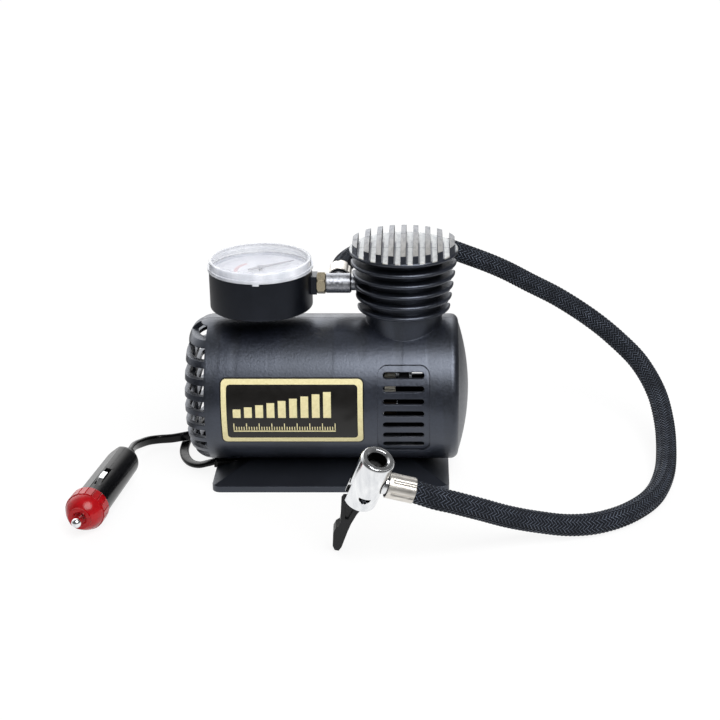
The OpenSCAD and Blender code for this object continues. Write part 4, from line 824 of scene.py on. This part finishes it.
def coil_path(step=10):
    """Turns wound clockwise; each shifts to its next place a little earlier than the turn before."""
    found = []
    for k in range(int(COIL_TURNS * 360 / step) + 1):
        gone = k * step
        turn = min(int(gone // (HOLD + SHIFT)), len(TURNS) - 2)
        share = max(0.0, min(1.0, (gone - turn * (HOLD + SHIFT) - HOLD) / SHIFT))
        share = share * share * (3 - 2 * share)
        column, layer = ((1 - share) * TURNS[turn][n] + share * TURNS[turn + 1][n] for n in (0, 1))
        r = COIL_R + (column - 1.5) * LEAD_W
        angle = math.radians(COIL_START - gone)
        height = LAYER_LOW + layer * LAYER_STEP
        found.append(COIL_AT + Vector((r * math.cos(angle), r * math.sin(angle), height)))
    return found


def twin_section(k, sides):
    """A flat twin lead: two round cores with a shallow groove between them."""
    angle = 2 * math.pi * k / sides
    core = LEAD_T / 2
    x = (LEAD_W / 2 - core) * (1 if math.cos(angle) >= 0 else -1) + core * math.cos(angle)
    y = core * math.sin(angle)
    waist = max(0.0, 1 - abs(x) / (0.8 * MM))
    return x, y * (1 - 0.3 * waist)


def power_lead():
    """The flat twin lead, from the grommet through its coil to the plug's strain relief."""
    steps = 6
    coil = coil_path()
    near = spline([LEAD_EXIT] + NEAR_ROUTE + [coil[0], coil[1]], steps)[:-steps]
    far = spline([coil[-2], coil[-1]] + FAR_ROUTE + [PLUG_AT - PLUG_Z * RELIEF_LEN], steps)[steps:]
    path = near[:-1] + coil + far[1:]
    sides = 24
    first = len(near) - 1 + len(coil)
    half = (len(path) - first) / 2

    def roll_at(i):
        """The lead lies flat as far as the coil's end, then rolls onto its edge half way to the plug."""
        return 90 * max(0.0, min(1.0, (i - first) / half))

    def ring_at(i, k):
        return twin_section(k, sides)

    vertices, faces = swept(path, rolled_frames(path, roll_at), ring_at, sides)
    lead = piece_from("power_lead", vertices, faces, "lead_pvc", "frame")
    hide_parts("cord_lead_near", "cord_coil", "cord_lead_far")


# ---------- Label ----------

LABEL_X = (label_low.x + label_high.x) / 2
LABEL_Z = (label_low.z + label_high.z) / 2 - AXIS_Z
LABEL_W = label_high.x - label_low.x
LABEL_H = label_high.z - label_low.z
# How high the ink stands on the label, and how low its edges reach
INK = 0.05 * MM
INK_FOOT = INK / 4
BORDER_INSET = 0.6 * MM
BORDER_W = 2.6 * MM
PRINT_LEFT = 6.4 * MM - LABEL_W / 2
# The row of bars: how many, their spacing and width, their feet, the lowest top and its rise
BARS = 9
BAR_PITCH = 5.7 * MM
BAR_W = 3.9 * MM
BAR_FOOT = -2.4 * MM
BAR_TOP = 2.2 * MM
BAR_RISE = 1.1 * MM
# The ruler: its ticks and the line under them
TICKS = 41
TICK_PITCH = 1.28 * MM
TICK_W = 0.45 * MM
TICK_FOOT = -9.6 * MM
TICK_TOP = -7.6 * MM
LONG_TICK_TOP = -5.6 * MM
RULE_FOOT = -10.6 * MM
RULE_TOP = -9.9 * MM
RULE_LEN = 51.7 * MM


def on_label(x, z, lift):
    """A point that lies lift above the label, at x and z from its middle."""
    up = LABEL_Z + z
    return Vector((LABEL_X + x, -math.sqrt((BARREL_R + lift) ** 2 - up * up), AXIS_Z + up))


def round_loop(inset, r, arc=8, straight=24):
    """Points round the label at an inset from its edge, close together on the straight sides."""
    w, h = LABEL_W - 2 * inset, LABEL_H - 2 * inset
    corners = [(1, 1), (-1, 1), (-1, -1), (1, -1)]
    found = []
    for n, (sx, sz) in enumerate(corners):
        cx, cz = sx * (w / 2 - r), sz * (h / 2 - r)
        for k in range(arc + 1):
            a = math.radians(90 * (n + k / arc))
            found.append((cx + r * math.cos(a), cz + r * math.sin(a)))
        nx, nz = corners[(n + 1) % 4]
        x0, z0 = found[-1]
        x1, z1 = (nx * (w / 2 - r), nz * h / 2) if n % 2 == 0 else (nx * w / 2, nz * (h / 2 - r))
        for k in range(1, straight):
            found.append((x0 + (x1 - x0) * k / straight, z0 + (z1 - z0) * k / straight))
    return found


def ink_band(outer, inner, vertices, faces):
    """A printed band between two loops, with its edges closed down to the film."""
    base = len(vertices)
    for (ox, oz), (ix, iz) in zip(outer, inner):
        vertices += [on_label(ox, oz, INK_FOOT), on_label(ox, oz, INK), on_label(ix, iz, INK),
            on_label(ix, iz, INK_FOOT)]
    count = len(outer)
    for i in range(count):
        here, ahead = base + 4 * i, base + 4 * ((i + 1) % count)
        for a in range(4):
            b = (a + 1) % 4
            faces.append((here + a, ahead + a, ahead + b, here + b))


def ink_block(x0, z0, x1, z1, vertices, faces):
    """A flat printed bar with its edges closed down to the film."""
    rows = max(2, int((z1 - z0) / (1.2 * MM)) + 1)
    base = len(vertices)
    for lift in (INK_FOOT, INK):
        for i in range(rows + 1):
            z = z0 + (z1 - z0) * i / rows
            vertices += [on_label(x0, z, lift), on_label(x1, z, lift)]
    top = base + 2 * (rows + 1)
    for i in range(rows):
        a, b = top + 2 * i, top + 2 * i + 1
        faces.append((a, b, b + 2, a + 2))
        faces.append((base + 2 * i, base + 2 * i + 2, a + 2, a))
        faces.append((base + 2 * i + 1, b, b + 2, base + 2 * i + 3))
    faces.append((base, top, top + 1, base + 1))
    faces.append((base + 2 * rows, base + 2 * rows + 1, top + 2 * rows + 1, top + 2 * rows))


def label_print():
    """Pale border, a rising row of bars and a ruler of ticks: a plain sign for more pressure."""
    vertices, faces = [], []
    outer = round_loop(BORDER_INSET, 2.4 * MM)
    inner = round_loop(BORDER_INSET + BORDER_W, 1.9 * MM)
    ink_band(outer, inner, vertices, faces)
    for i in range(BARS):
        x = PRINT_LEFT + i * BAR_PITCH
        ink_block(x, BAR_FOOT, x + BAR_W, BAR_TOP + i * BAR_RISE, vertices, faces)
    for i in range(TICKS):
        x = PRINT_LEFT + i * TICK_PITCH
        ink_block(x, TICK_FOOT, x + TICK_W, LONG_TICK_TOP if i % 5 == 0 else TICK_TOP, vertices, faces)
    ink_block(PRINT_LEFT, RULE_FOOT, PRINT_LEFT + RULE_LEN, RULE_TOP, vertices, faces)
    piece_from("label_print", vertices, faces, "screen_ink", "frame", smooth=False)


# ---------- Dial ----------

DIAL_INK = 0.05 * MM
# The scale: the turn at which it starts, its sweep, and its rings as depths from the dial's edge
SCALE_START = 34
SCALE_SWEEP = 270
SCALE_STEPS = 50
TICK_OUT = 3.6 * MM
TICK_IN = 4.9 * MM
LONG_TICK_IN = 6.3 * MM
LINE_OUT = 3.5 * MM
LINE_IN = 3.75 * MM
NUMBERS_IN = 8.8 * MM
ARC_OUT = 10.9 * MM
ARC_IN = 13 * MM
ARC_TURNS = (200, 266)


def dial_point(r, turn, lift):
    """A point of the dial, turn counted clockwise in degrees from the scale's start."""
    a = math.radians(SCALE_START - turn)
    return GAUGE + Vector((r * math.cos(a), r * math.sin(a), lift))


def ring_sector(r0, r1, turn0, turn1, vertices, faces, steps=1):
    """A printed piece of a ring between two radii and two turns."""
    base = len(vertices)
    for i in range(steps + 1):
        turn = turn0 + (turn1 - turn0) * i / steps
        for lift in (0.01 * MM, DIAL_INK):
            vertices += [dial_point(r0, turn, lift), dial_point(r1, turn, lift)]
    for i in range(steps):
        a, b = base + 4 * i, base + 4 * (i + 1)
        faces += [(a + 2, a + 3, b + 3, b + 2), (a, a + 2, b + 2, b), (a + 1, b + 1, b + 3, a + 3)]


def dial_print():
    """Grey ticks clockwise round the dial, and a broad rose arc at their high end."""
    vertices, faces = [], []
    for i in range(SCALE_STEPS + 1):
        turn = SCALE_SWEEP * i / SCALE_STEPS
        depth, half = (LONG_TICK_IN, 0.8) if i % 5 == 0 else (TICK_IN, 0.45)
        ring_sector(DIAL_R - depth, DIAL_R - TICK_OUT, turn - half, turn + half, vertices, faces)
    ring_sector(DIAL_R - LINE_IN, DIAL_R - LINE_OUT, 0, SCALE_SWEEP, vertices, faces, 90)
    piece_from("dial_scale", vertices, faces, "grey_ink", "frame", smooth=False)
    vertices, faces = [], []
    ring_sector(DIAL_R - ARC_IN, DIAL_R - ARC_OUT, *ARC_TURNS, vertices, faces, 40)
    piece_from("dial_arc", vertices, faces, "rose_ink", "frame", smooth=False)


def dial_numbers():
    """Plain numbers of the scale, upright for a reader who stands in front of the barrel."""
    for i in range(0, 11, 2):
        turn = SCALE_SWEEP * i / 10
        words = bpy.data.curves.new(f"dial_number_{i}", "FONT")
        words.body = str(i)
        words.size = 3.4 * MM
        words.align_x = "CENTER"
        words.align_y = "CENTER"
        words.extrude = 0.02 * MM
        words.resolution_u = 3
        made = bpy.data.objects.new(f"dial_number_{i}", words)
        bpy.context.scene.collection.objects.link(made)
        made.location = dial_point(DIAL_R - NUMBERS_IN, turn, 0.03 * MM)
        words.materials.append(FINISH["grey_ink"])
        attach(made, "frame")


# ---------- Stage, light and camera ----------

def seen_rays(tree):
    """1 for rays from the lens and for those that metal, gloss and glass send on."""
    path = add(tree, "ShaderNodeLightPath").outputs
    sent_on = math_node(tree, "ADD", path["Is Glossy Ray"], path["Is Transmission Ray"])
    return math_node(tree, "ADD", path["Is Camera Ray"], sent_on, clamp=True)


def stage_material():
    """Matt white paper that reads as pure white and keeps a faint shadow near the object. In gloss it
    is seen to darken away from the object."""
    made, tree, shader = new_material("white_paper", Base_Color=linear("#f2f2f2"), Roughness=0.9)
    reach = add(tree, "ShaderNodeVectorMath", {0: coords(tree)}, operation="LENGTH").outputs["Value"]
    share = math_node(tree, "MULTIPLY", seen_rays(tree), spread(tree, reach, 0.22, 0.42, 0.86, 1.0))
    lens = add(tree, "ShaderNodeLightPath").outputs["Is Camera Ray"]
    dimmed = spread(tree, reach, 0.12, 0.36, 1.0, 0.25, True)
    strength = blend(tree, lens, dimmed, 1.02)
    glow = add(tree, "ShaderNodeEmission", {"Color": linear("#ffffff"), "Strength": strength})
    paper = add(tree, "ShaderNodeMixShader", {0: share, 1: shader.outputs[0], 2: glow.outputs[0]})
    tree.links.new(paper.outputs[0], tree.nodes["Material Output"].inputs["Surface"])
    return made


def build_world():
    """A white cove behind and to the left with a bright strip in it, and a dark room on the other sides."""
    world = bpy.data.worlds.new("studio")
    bpy.context.scene.world = world
    world.use_nodes = True
    tree = world.node_tree
    tree.nodes.clear()
    ahead = add(tree, "ShaderNodeTexCoord").outputs["Generated"]

    def nearness(way):
        """1 for rays that leave along way, less for those that turn from it."""
        inputs = {0: ahead, 1: Vector(way).normalized()}
        return add(tree, "ShaderNodeVectorMath", inputs, operation="DOT_PRODUCT").outputs["Value"]

    cove = spread(tree, nearness((-0.5, 0.8, 0.3)), 0.3, 0.92, 0.12, 0.95, True)
    strip = spread(tree, nearness((-0.3, 0.85, 0.42)), 0.72, 0.98, 0.0, 1.5, True)
    room = math_node(tree, "ADD", cove, strip)
    light = add(tree, "ShaderNodeBackground", {"Color": linear("#ffffff"), "Strength": room})
    white = add(tree, "ShaderNodeBackground", {"Color": linear("#ffffff"), "Strength": 1.0})
    lens = add(tree, "ShaderNodeLightPath").outputs["Is Camera Ray"]
    shown = add(tree, "ShaderNodeMixShader", {0: lens, 1: light.outputs[0], 2: white.outputs[0]})
    add(tree, "ShaderNodeOutputWorld", {"Surface": shown.outputs[0]})


def build_stage():
    """A wide white floor that stands under the object, and the room round it."""
    bpy.ops.mesh.primitive_plane_add(size=6, location=(0, 0, 0))
    floor = bpy.context.object
    floor.name = "floor"
    floor.data.materials.append(stage_material())
    build_world()


def build_lights():
    """A large round softbox in front, above the lens."""
    lamp = bpy.data.lights.new("front_softbox", "AREA")
    lamp.shape = "DISK"
    lamp.size = 1.0
    lamp.energy = 17
    made = bpy.data.objects.new("front_softbox", lamp)
    bpy.context.scene.collection.objects.link(made)
    centre = Vector((0, 0, 0.06))
    place = centre + Vector((0.3, -0.56, 0.77)).normalized() * 1.2
    made.location = place
    made.rotation_euler = (centre - place).to_track_quat("-Z", "Y").to_euler()


def build_camera():
    """Long lens, a little above the inflator and square to its barrel."""
    target = Vector((0.0473, 0, 0.05945))
    distance = 0.8484
    pitch = math.radians(21.8)
    lens = bpy.data.cameras.new("camera")
    lens.sensor_width = 36
    lens.lens = 81.2
    lens.shift_x = -1 / 12
    made = bpy.data.objects.new("camera", lens)
    bpy.context.scene.collection.objects.link(made)
    made.location = target + Vector((0, -math.cos(pitch), math.sin(pitch))) * distance
    made.rotation_euler = (math.pi / 2 - pitch, 0, 0)
    bpy.context.scene.camera = made


build_camera()
air_hose()
power_lead()
dress_packed_pieces()
label_print()
dial_print()
dial_numbers()
build_stage()
build_lights()
bpy.context.scene.view_settings.view_transform = "Standard"
